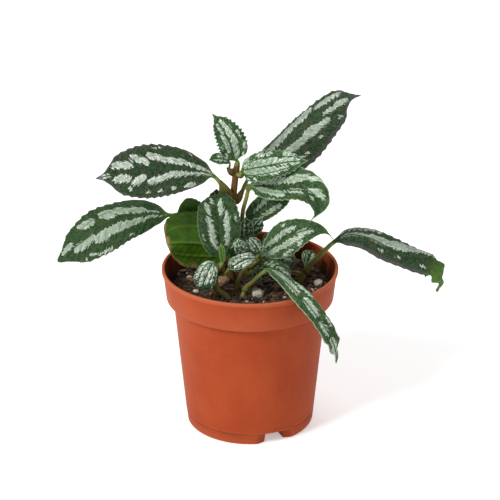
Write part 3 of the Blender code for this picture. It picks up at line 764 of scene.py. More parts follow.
def unit(vector: Array) -> Array:
    """Vector scaled to length one."""
    return vector / np.linalg.norm(vector)


def square_to(vector: Array, direction: Array) -> Array:
    """Part of a vector at right angles to a direction, as a unit vector."""
    return unit(vector - direction * np.dot(vector, direction))


def turned(vector: Array, axis: Array, degrees: float) -> Array:
    """Vector turned about a unit axis that it is square to."""
    angle = math.radians(degrees)
    return vector * math.cos(angle) + np.cross(axis, vector) * math.sin(angle)


def facing(turn: float, elevation: float) -> Array:
    """Unit vector that looks to the front, but for degrees to the right and upwards."""
    a, b = math.radians(turn), math.radians(elevation)
    return np.array([math.cos(b) * math.sin(a), -math.cos(b) * math.cos(a), math.sin(b)])


def eased(values: Array | float, low: float, high: float) -> Array:
    """Rise from 0 at low to 1 at high, eased at both ends."""
    k = np.clip((np.asarray(values, float) - low) / (high - low), 0.0, 1.0)
    return k * k * (3.0 - 2.0 * k)


class Path:
    """A smooth curve through a few points, read by its share of chord length from 0 to 1."""

    # weights of a span's start, start slope, end and end slope, for falling powers of the share
    BLEND = np.array([[2, 1, -2, 1], [-3, -2, 3, -1], [0, 1, 0, 0], [1, 0, 0, 0]], float)

    def __init__(self, points: list | tuple) -> None:
        """Fit the curve.

        Args:
            points: the points that it passes through.
        """
        self.points = np.array(points, float)
        steps = np.linalg.norm(np.diff(self.points, axis=0), axis=1)
        self.length = steps.sum()
        self.shares = np.concatenate([[0.0], np.cumsum(steps)]) / self.length
        self.slopes = np.gradient(self.points, self.shares, axis=0, edge_order=2)

    def _read(self, share: float, powers: Callable[[float], tuple[float, ...]]) -> Array:
        """Value of the curve, or of its slope within a span.

        Args:
            share: where on the curve.
            powers: gives the four powers of the share within the span, or their slopes.

        Returns:
            The blended vector.
        """
        last = len(self.shares) - 2
        i = min(max(int(np.searchsorted(self.shares, share, side="right")) - 1, 0), last)
        width = self.shares[i + 1] - self.shares[i]
        ends = (self.points[i], self.slopes[i] * width, self.points[i + 1], self.slopes[i + 1] * width)
        return np.array(powers((share - self.shares[i]) / width)) @ self.BLEND @ np.array(ends)

    def at(self, share: float) -> Array:
        """Point on the curve."""
        return self._read(share, lambda k: (k**3, k**2, k, 1.0))

    def along(self, share: float) -> Array:
        """Unit direction of travel."""
        return unit(self._read(share, lambda k: (3.0 * k**2, 2.0 * k, 1.0, 0.0)))

    def share_at_height(self, height: float) -> float:
        """Share of the length at which the curve first reaches a height."""
        shares = np.linspace(0.0, 1.0, 201)
        return float(shares[np.argmax([self.at(share)[2] >= height for share in shares])])


def tube_form(
    path: Path, radius_at: Callable[[float], float], sides: int, step: float, tones: Pair
) -> Form:
    """Round closed tube along a path.

    Args:
        path: its centre line.
        radius_at: gives the radius at a share of the path.
        sides: points in a ring.
        step: about the distance between rings.
        tones: the tone field at both ends.

    Returns:
        The tube.
    """
    rings = max(4, round(path.length / step)) + 1
    turns = np.arange(sides) * math.tau / sides
    side = square_to(np.array([1.0, 0.2, 0.0]), path.along(0.0))
    points, flat, tone = [], [], []
    for share in np.linspace(0.0, 1.0, rings):
        ahead = path.along(share)
        side = square_to(side, ahead)
        other = np.cross(ahead, side)
        round_about = np.outer(np.cos(turns), side) + np.outer(np.sin(turns), other)
        points.append(path.at(share) + radius_at(share) * round_about)
        flat.append(np.stack([np.full(sides, share * path.length), np.cos(turns), np.sin(turns)], -1))
        tone.append(np.full(sides, np.interp(share, (0.0, 1.0), tones)))
    faces = [face[::-1] for face in ring_faces(rings, sides)]
    faces.append(tuple(reversed(range(sides))))
    faces.append(tuple((rings - 1) * sides + j for j in range(sides)))
    fields = {"flat": np.concatenate(flat), "tone": np.concatenate(tone)}
    return Form(np.concatenate(points), faces, None, fields)


def lump_form(
    place: Place, radius: float, fineness: int, seed: float, squash: Place = (1.0, 1.0, 1.0),
    unevenness: float = 0.09, pits: float = 0.0, tone: float = 0.0,
) -> Form:
    """Rounded, uneven lump.

    Args:
        place: its centre.
        radius: its mean radius.
        fineness: subdivisions of its starting ball.
        seed: shifts its unevenness.
        squash: how much each axis is drawn out.
        unevenness: height of its broad bumps, in radii.
        pits: depth of its fine pits, in radii.
        tone: its tone field.

    Returns:
        The lump.
    """
    ball = bmesh.new()
    bmesh.ops.create_icosphere(ball, subdivisions=fineness, radius=1.0)
    ways = np.array([vertex.co for vertex in ball.verts])
    faces = [tuple(vertex.index for vertex in face.verts) for face in ball.faces]
    ball.free()
    bumps = np.sin(3.1 * ways[:, 0] + seed) * np.cos(2.7 * ways[:, 1] - seed) + np.sin(4.3 * ways[:, 2])
    reach = radius * (1.0 + unevenness * bumps)
    if pits:
        rough = [noise.fractal(Vector(way * 2.6) + Vector((seed, 0, 0)), 0.8, 2.1, 4) for way in ways]
        reach = reach * (1.0 + pits * np.array(rough))
    points = np.array(place) + ways * reach[:, None] * np.array(squash)
    return Form(points, faces, None, {"tone": np.full(len(points), tone)})


class Corner(NamedTuple):
    """One corner of the pot's section.

    `lift` is the share by which a notch raises it, and `widen` how far the notch's flanks stand
    off there. `inside` says how much stain and painted shade it takes, and the edge field how
    worn it is and how much painted highlight it takes.
    """

    radius: float
    height: float
    rounding: float = 0.3
    lift: float = 0.0
    widen: float = 0.0
    inside: float = 0.0
    edge: float = 0.0


@dataclass(frozen=True)
class Pot:
    """Thin plastic pot with a stepped band, a lip and three drainage notches in its foot."""

    rim_radius: float = 40.0
    height: float = 76.0
    wall: float = 1.3
    band_height: float = 14.4
    band_foot_radius: float = 38.0
    body_top_radius: float = 35.0
    body_foot_radius: float = 29.1
    body_middle: float = 30.0
    foot_bevel: float = 0.35
    foot_edge: float = 0.7
    lip_drop: float = 2.4
    lip_flare: float = 0.7
    lip_depth: float = 1.4
    lip_inset: float = 0.2
    floor_rise: float = 5.0
    foot_inner_radius: float = 17.5
    floor_plate_radius: float = 15.5
    drain_radius: float = 4.0
    notch_angles: tuple[float, ...] = (-66.0, 54.0, 174.0)
    notch_corner_radius: float = 26.8
    notch_half_outside: float = 8.4
    notch_half_inside: float = 3.8
    notch_flank: float = 1.0
    notch_roof_blend: float = 1.6
    notch_columns: int = 9
    flank_columns: int = 4
    plain_columns: int = 54
    crease_height: float = 5.3
    crease_half: float = 0.35
    crease_depth: float = 0.22
    # how dark the painted shade along the crease by the foot is, and how far it reaches up and down
    crease_shade_strength: float = 0.8
    crease_shade_reach: float = 0.3
    corner_steps: int = 5

    @property
    def slope(self) -> float:
        """Growth of the body's radius with height."""
        return (self.body_top_radius - self.body_foot_radius) / (self.height - self.band_height)

    def body_radius(self, height: float) -> float:
        """Outer radius of the tapered body at a height."""
        return self.body_foot_radius + self.slope * height

    def columns(self, radius: float, widen: float) -> list[Pair]:
        """Angles round the pot, each with the share by which it is lifted into a notch.

        Args:
            radius: the ring's radius.
            widen: how far the notch's flanks stand off on the inside of the wall.

        Returns:
            Pairs of an angle in degrees and a share.
        """
        reach = (self.notch_corner_radius, self.body_foot_radius)
        halves = (self.notch_half_inside, self.notch_half_outside)
        near = float(np.interp(radius + widen, reach, halves)) + widen
        inner = math.degrees(near / radius)
        outer = math.degrees((near + self.notch_flank) / radius)
        pitch = 360.0 / len(self.notch_angles)
        steps = np.linspace(0.0, 1.0, self.flank_columns + 2)[1:-1]
        columns = []
        for centre in self.notch_angles:
            columns += [(centre + a, 1.0) for a in np.linspace(-inner, inner, self.notch_columns)]
            columns += [(centre + inner + (outer - inner) * k, 1.0 - float(eased(k, 0, 1))) for k in steps]
            end = centre + pitch - outer
            columns += [(a, 0.0) for a in np.linspace(centre + outer, end, self.plain_columns)]
            columns += [(end + (outer - inner) * k, float(eased(k, 0, 1))) for k in steps]
        return columns

    def outside(self) -> list[Corner]:
        """Corners up the outside of the wall.

        Returns:
            The corners from the foot to the lip.
        """
        step = self.height - self.band_height
        band_top = self.height - self.lip_drop
        roof = self.floor_rise + self.notch_roof_blend
        crease = []
        for aside, depth, edge in ((-1.0, 0.0, 0.0), (0.0, self.crease_depth, 0.0), (1.0, 0.0, 0.3)):
            height = self.crease_height + aside * self.crease_half
            lift = 1.0 - (height - self.foot_edge) / (roof - self.foot_edge)
            crease.append(Corner(self.body_radius(height) - depth, height, 0.05, lift, edge=edge))
        return [
            Corner(self.body_foot_radius - self.foot_bevel, 0.0, 0.55, lift=1.0),
            Corner(self.body_radius(self.foot_edge), self.foot_edge, 0.5, lift=1.0, edge=0.35),
            *crease,
            Corner(self.body_radius(roof), roof, 0.5),
            Corner(self.body_radius(self.body_middle), self.body_middle, 0.5),
            Corner(self.body_top_radius, step, 0.55),
            Corner(self.band_foot_radius, step, 0.45, edge=0.35),
            Corner(self.rim_radius - self.lip_flare, band_top, 0.45),
            Corner(self.rim_radius, band_top + self.lip_flare, 0.35, edge=0.25),
            Corner(self.rim_radius, self.height, 0.5, edge=1.0),
        ]

    def inside(self) -> list[Corner]:
        """Corners down the inside, across the floor and back under it.

        Returns:
            The corners from the lip to the foot.
        """
        wall = self.wall
        step = self.height - self.band_height + wall
        floor = self.floor_rise + wall
        lip = self.rim_radius - wall
        foot = self.body_radius(wall) - wall - self.foot_bevel
        return [
            Corner(lip, self.height, 0.5, inside=0.3, edge=1.0),
            Corner(lip - self.lip_inset, self.height - self.lip_depth, 0.4, inside=1.0),
            Corner(self.band_foot_radius - wall, step, 0.5, inside=1.0),
            Corner(self.body_radius(step - wall) - wall, step, 0.5, inside=1.0),
            Corner(self.body_radius(floor + wall) - wall, floor + wall, 0.4, 0.0, wall, 1.0),
            Corner(foot, wall, 0.3, 1.0, wall, 1.0),
            Corner(self.notch_corner_radius - wall, wall, 0.3, 1.0, wall, 1.0),
            Corner(self.foot_inner_radius - wall / 2, wall, 0.3, 1.0, wall, 1.0),
            Corner(self.floor_plate_radius - wall / 2, floor, 0.3, 0.0, wall, 1.0),
            Corner(self.drain_radius, floor, inside=1.0),
            Corner(self.drain_radius, self.floor_rise, inside=0.6),
            Corner(self.floor_plate_radius, self.floor_rise, inside=0.6),
            Corner(self.foot_inner_radius, 0.0, lift=1.0, inside=0.3),
            Corner(self.notch_corner_radius, 0.0, lift=1.0, inside=0.3),
        ]

    def rounded_section(self) -> list[Corner]:
        """Section with each corner turned into a small curve.

        Returns:
            The rows of the pot's mesh, as corners.
        """
        corners = self.outside() + self.inside()
        rows = []
        for i, corner in enumerate(corners):
            ends = []
            here = np.array(corner)
            for other in (np.array(corners[i - 1]), np.array(corners[(i + 1) % len(corners)])):
                span = np.linalg.norm((other - here)[:2])
                ends.append(here + (other - here) * min(corner.rounding / span, 0.45))
            for k in np.linspace(0.0, 1.0, self.corner_steps):
                rows.append(Corner(*((1 - k) ** 2 * ends[0] + 2 * k * (1 - k) * here + k**2 * ends[1])))
        return rows

    def groove(self, row: Corner, turn: float) -> float:
        """How strongly painted shade darkens the crease.

        Args:
            row: the row of the mesh.
            turn: angle round the pot, in radians.

        Returns:
            The strength, which is nothing on the inside.
        """
        if row.radius <= self.notch_corner_radius or row.inside:
            return 0.0
        near = math.exp(-(((row.height - self.crease_height) / self.crease_shade_reach) ** 2))
        patchy = 0.5 + 0.5 * math.sin(3.1 * turn) * math.sin(7.3 * turn + 1.0)
        return near * patchy * self.crease_shade_strength

    def build(self, finishes: Finishes) -> None:
        """Build the pot's piece.

        Args:
            finishes: materials by name.
        """
        rows = self.rounded_section()
        points, inside, edge, groove = [], [], [], []
        for row in rows:
            for angle, share in self.columns(row.radius, row.widen):
                rise = row.lift * share * self.floor_rise
                outside = row.radius > self.notch_corner_radius
                reach = row.radius + (rise * self.slope if outside else 0.0)
                turn = math.radians(angle)
                points.append((reach * math.cos(turn), reach * math.sin(turn), row.height + rise))
                inside.append(row.inside)
                edge.append(row.edge)
                groove.append(self.groove(row, turn))
        faces = [face[::-1] for face in ring_faces(len(rows), len(points) // len(rows), closed=True)]
        fields = {"inside": np.array(inside), "edge": np.array(edge), "groove": np.array(groove)}
        form = Form(np.array(points), faces, None, fields)
        form.piece("pot_shell", [finishes["pot_plastic"]], Slot.POT, ("pot",))


@dataclass(frozen=True)
class Lump:
    """A grain or a ball of bark that sits half sunk in the potting mix."""

    name: str
    place: Place
    radius: float
    finish: str = "perlite_grain"
    slot: Slot = Slot.PERLITE
    pits: float = 0.16
    tone: float = 0.0
    fineness: int = 5

    def build(self, finishes: Finishes) -> None:
        """Build the lump's piece.

        Args:
            finishes: materials by name.
        """
        form = lump_form(
            self.place, self.radius, self.fineness, sum(self.place), pits=self.pits, tone=self.tone
        )
        form.piece(self.name + "_fine", [finishes[self.finish]], self.slot, (self.name,))


@dataclass(frozen=True)
class Litter:
    """Loose small stuff of one kind that is strewn over the mix.

    `sizes` are the least and greatest radius, `flatness` the least and greatest height against
    width, and `power` says how much small ones outnumber large ones.
    """

    name: str
    count: int
    sizes: Pair
    flatness: Pair
    power: float
    finish: str
    slot: Slot


@dataclass(frozen=True)
class MixBed:
    """Potting mix with its crumbs, chips, fibres and grains."""

    level: float = 66.3
    mound: float = 1.2
    spread: float = 38.0
    edge_radius: float = 36.3
    under_profile: tuple[Pair, ...] = (
        (36.3, 64.2), (33.0, 63.4), (32.4, 60.6), (27.4, 8.2), (26.6, 6.6),
    )
    rings: int = 110
    spokes: int = 220
    clods: int = 34
    clod_reach: float = 33.0
    clod_sizes: Pair = (2.4, 4.2)
    clod_rises: Pair = (-0.9, 1.1)
    clod_seed: int = 11
    seed: int = 5
    litter: tuple[Litter, ...] = (
        Litter("mix_crumbs", 1500, (0.35, 1.25), (0.6, 1.0), 1.6, "mix_crumb", Slot.MIX),
        Litter("bark_chips", 190, (0.8, 2.2), (0.25, 0.5), 1.3, "bark_chip", Slot.BARK),
        Litter("perlite_bits", 90, (0.3, 0.8), (0.7, 1.0), 1.5, "perlite_grain", Slot.PERLITE),
    )
    litter_margin: float = 1.4
    fibres: int = 130
    fibre_margin: float = 4.0
    lumps: tuple[Lump, ...] = (
        Lump("perlite_front", (3.4, -13.3, 68.4), 2.5),
        Lump("perlite_right", (31.0, -0.5, 67.6), 2.0),
        Lump("perlite_right_small", (27.4, -8.2, 67.4), 1.5),
        Lump("perlite_left", (-27.6, 6.6, 67.0), 1.2),
        Lump("perlite_left_front", (-24.4, -8.6, 67.2), 1.3),
        Lump("bark_ball", (-12.2, -1.7, 69.4), 2.8, "bark_ball", Slot.BARK, 0.1, 1.0),
    )

    def clod_list(self) -> list[tuple[float, float, float, float]]:
        """Draw the clods, in the order in which the solids' source draws them.

        Returns:
            Place to the right, place to the back, size and rise of each.
        """
        draw = random.Random(self.clod_seed)
        clods = []
        for _ in range(self.clods):
            reach = self.clod_reach * math.sqrt(draw.random())
            turn = draw.uniform(0.0, math.tau)
            size = draw.uniform(*self.clod_sizes)
            rise = draw.uniform(*self.clod_rises)
            clods.append((reach * math.cos(turn), reach * math.sin(turn), size, rise))
        return clods

    def height_at(self, x: Array, y: Array) -> Array:
        """Broad height of the mix.

        Args:
            x: places to the right.
            y: places to the back.

        Returns:
            The heights.
        """
        height = self.level + self.mound * (1.0 - (x**2 + y**2) / self.spread**2)
        for cx, cy, size, rise in self.clod_list():
            height = height + rise * np.exp(-((x - cx) ** 2 + (y - cy) ** 2) / size**2)
        return height

    def rough_at(self, x: float, y: float) -> float:
        """What the fine roughness of the mix adds to its height at a place."""
        cell = noise.voronoi(Vector((x * 0.5, y * 0.5, 0.0)))[0][0]
        return 0.75 * noise.fractal(Vector((x * 0.33, y * 0.33, 1.7)), 0.9, 2.0, 5) + 0.9 * (0.35 - cell)

    def bed(self) -> Form:
        """The mix as one closed form.

        Returns:
            The form.
        """
        radii = self.edge_radius * np.linspace(0.0, 1.0, self.rings + 1)[1:] ** 0.9
        turns = np.arange(self.spokes) * math.tau / self.spokes
        x = np.outer(radii, np.cos(turns)).ravel()
        y = np.outer(radii, np.sin(turns)).ravel()
        z = self.height_at(x, y) + np.array([self.rough_at(a, b) for a, b in zip(x, y)])
        top = np.stack([x, y, z], -1)
        centre = np.array([[0.0, 0.0, self.height_at(np.array(0.0), np.array(0.0))]])
        under = [
            np.stack([r * np.cos(turns), r * np.sin(turns), np.full(self.spokes, h)], -1)
            for r, h in self.under_profile
        ]
        base = np.array([[0.0, 0.0, self.under_profile[-1][1]]])
        points = np.concatenate([centre, top, *under, base])
        rows = self.rings + len(under)
        faces = [tuple(1 + n for n in face) for face in ring_faces(rows, self.spokes)]
        last = 1 + (rows - 1) * self.spokes
        for j in range(self.spokes):
            n = (j + 1) % self.spokes
            faces += [(0, 1 + j, 1 + n), (len(points) - 1, last + n, last + j)]
        return Form(points, faces, None, {"tone": np.zeros(len(points))})

    def spot(self, draw: random.Random, reach: float) -> tuple[float, float, float]:
        """Draw a place on the mix.

        Args:
            draw: the random draw.
            reach: greatest distance from the pot's axis.

        Returns:
            The place, on the mix's surface.
        """
        distance = reach * math.sqrt(draw.random())
        turn = draw.uniform(0.0, math.tau)
        x, y = distance * math.cos(turn), distance * math.sin(turn)
        return x, y, float(self.height_at(np.array(x), np.array(y))) + 0.8 * self.rough_at(x, y)

    def scatter(self, kind: Litter, seed: int) -> Form:
        """Loose lumps on the mix, joined.

        Args:
            kind: what they are.
            seed: of the random draw.

        Returns:
            The lumps.
        """
        draw = random.Random(seed)
        least, most = kind.sizes
        forms = []
        for n in range(kind.count):
            x, y, z = self.spot(draw, self.edge_radius - self.litter_margin)
            radius = least + (most - least) * draw.random() ** kind.power
            long = draw.uniform(0.8, 1.5)
            squash = (long, 1.0, draw.uniform(*kind.flatness))
            form = lump_form((0, 0, 0), radius, 2, n * 1.7, squash, 0.22)
            turn = draw.uniform(0.0, math.tau)
            tip = draw.uniform(-0.6, 0.6)
            px, py, pz = form.points.T
            py, pz = py * math.cos(tip) - pz * math.sin(tip), py * math.sin(tip) + pz * math.cos(tip)
            px, py = px * math.cos(turn) - py * math.sin(turn), px * math.sin(turn) + py * math.cos(turn)
            form.points = np.stack([px + x, py + y, pz + z + 0.15 * radius], -1)
            form.fields["tone"] = np.full(len(px), draw.random())
            forms.append(form)
        return joined(forms)

    def threads(self, seed: int) -> Form:
        """Fine fibres that lie on the mix, joined.

        Args:
            seed: of the random draw.

        Returns:
            The fibres.
        """
        draw = random.Random(seed)
        forms = []
        for _ in range(self.fibres):
            x, y, z = self.spot(draw, self.edge_radius - self.fibre_margin)
            turn = draw.uniform(0.0, math.tau)
            points = []
            for _ in range(4):
                step = draw.uniform(0.7, 1.5)
                turn += draw.uniform(-0.6, 0.6)
                x, y = x + step * math.cos(turn), y + step * math.sin(turn)
                points.append((x, y, z + draw.uniform(0.1, 0.8)))
            thick = draw.uniform(0.07, 0.16)
            tone = draw.random()
            forms.append(tube_form(Path(points), lambda share: thick, 5, 0.5, (tone, tone)))
        return joined(forms)

    def build(self, finishes: Finishes) -> None:
        """Build the bed and what lies on it.

        Args:
            finishes: materials by name.
        """
        self.bed().piece("mix_bed", [finishes["potting_mix"]], Slot.MIX, ("soil",))
        for seed, kind in enumerate(self.litter, self.seed):
            self.scatter(kind, seed).piece(kind.name, [finishes[kind.finish]], kind.slot)
        fibres = self.threads(self.seed + len(self.litter))
        fibres.piece("mix_fibres", [finishes["mix_fibre"]], Slot.MIX)
        for lump in self.lumps:
            lump.build(finishes)


@dataclass(frozen=True)
class Stem:
    """A stem that stands in the potting mix: points from its buried end to its tip."""

    name: str
    points: tuple
    root_radius: float
    tip_radius: float
    finish: str = "green_stem"
    joints: tuple[float, ...] = ()
    sides: int = 28
    ring_step: float = 0.45
    joint_reach: float = 1.3
    joint_swelling: float = 0.22

    def radius(self, share: float) -> float:
        """Plain radius at a share of the stem's length."""
        return self.root_radius + (self.tip_radius - self.root_radius) * share

    def build(self, finishes: Finishes) -> None:
        """Build the stem with a slight swelling at each joint.

        Args:
            finishes: materials by name.
        """
        path = Path(self.points)
        joints = [path.share_at_height(height) for height in self.joints]

        def swollen(share: float) -> float:
            """Radius with the swelling at the joints."""
            away = [(share - joint) * path.length / self.joint_reach for joint in joints]
            return self.radius(share) + self.joint_swelling * min(sum(math.exp(-(a**2)) for a in away), 1.0)

        form = tube_form(path, swollen, self.sides, self.ring_step, (0.0, 1.0))
        slot = Slot.GREEN_STEM if self.finish == "green_stem" else Slot.RED_STEM
        form.piece(self.name + "_fine", [finishes[self.finish]], slot, (self.name,))


@dataclass(frozen=True)
class Leaf:
    """One leaf with its stalk, as the solids' source has it, and what its faces show.

    `height` is where the stalk leaves the stem, or None at the stem's tip. `via` are points of the
    stalk and `spine` those of the midrib, and `stalk` has the radius at either end. `streaks` are the
    silvery patches: from hundredths of the length and of the half width to the same, and half the
    patch's width in tenths of a millimetre. `midrib` is where the midrib lies across the blade.
    `extra` says that the leaf stands for no solid.
    """

    name: str
    stem: str
    height: float | None
    spine: tuple
    width: float
    face: Pair
    via: tuple = ()
    widest: float = 0.55
    fullness: float = 1.4
    drawn_out: float = 0.5
    fold: float = 12.0
    cup: float = 0.0
    twist: float = 0.0
    puff: float = 0.5
    wave: float = 0.4
    teeth: int = 7
    tooth: float = 0.05
    stalk: Pair = (1.0, 0.75)
    age: Age = Age.SOFT
    midrib: float = 0.0
    streaks: tuple[Streak, ...] = ()
    broad: float = 0.25
    fresh_base: float = 0.12
    fresh_tip: float = 1.2
    dry_tip: float = 1.2
    dry_side: float = 0.0
    crinkle: float = 0.15
    ragged: float = 0.0
    extra: bool = False


STEMS = (
    Stem(
        "main_stem",
        ((-8.5, 3, 51), (-8.3, 2.5, 66), (-8.6, 2, 86), (-7.6, 2, 108), (-5.8, 2, 124.5)),
        2.1, 1.4, "red_stem", (85, 95, 106, 121),
    ),
    Stem(
        "shoot_stem",
        ((-1.5, 8.5, 51), (-1.5, 8.5, 66), (-2.6, 6.5, 84), (-3.6, 4.5, 96), (-3.2, 3.5, 101.5),
         (-1.4, 1.5, 110), (-0.7, 0.5, 114)),
        1.3, 0.9, "green_stem", (74, 86, 93),
    ),
    Stem(
        "front_left_stem",
        ((-9.5, -13.4, 51), (-9.9, -13.4, 66.5), (-15, -14, 71.5), (-15.5, -13.5, 76.5),
         (-13.6, -12.5, 81.5)),
        1.6, 1.2, "green_stem", (79.5,),
    ),
    Stem(
        "front_stem",
        ((-6.3, -8.2, 51), (-6.3, -8.2, 67), (-5, -8.2, 73), (-1.2, -8.2, 79.5), (2.6, -8, 83.2)),
        1.4, 1, "brown_stem", (78, 81.5),
    ),
    Stem("rim_leaf_stub", ((-3.6, -14, 51), (-3.6, -14, 66), (-2, -14.5, 71)), 1.3, 1.1),
    Stem("far_leaf_stub", ((22.6, 3.5, 51), (22.8, 3.5, 66), (25.4, 2.4, 72.6)), 1.7, 1.3),
)

# settings that several small leaves share
CURLED = {"teeth": 4, "tooth": 0.1, "age": Age.YOUNG, "crinkle": 0.4, "stalk": (0.6, 0.5)}
IN_TUFT = CURLED | {"tooth": 0.12, "crinkle": 0.5, "broad": 0.4, "extra": True}
UNDER_TUFT = CURLED | {"teeth": 5, "age": Age.SHADED, "broad": 0.3, "extra": True}
IN_SHADE = {"tooth": 0.08, "age": Age.SHADED, "stalk": (0.7, 0.6)}

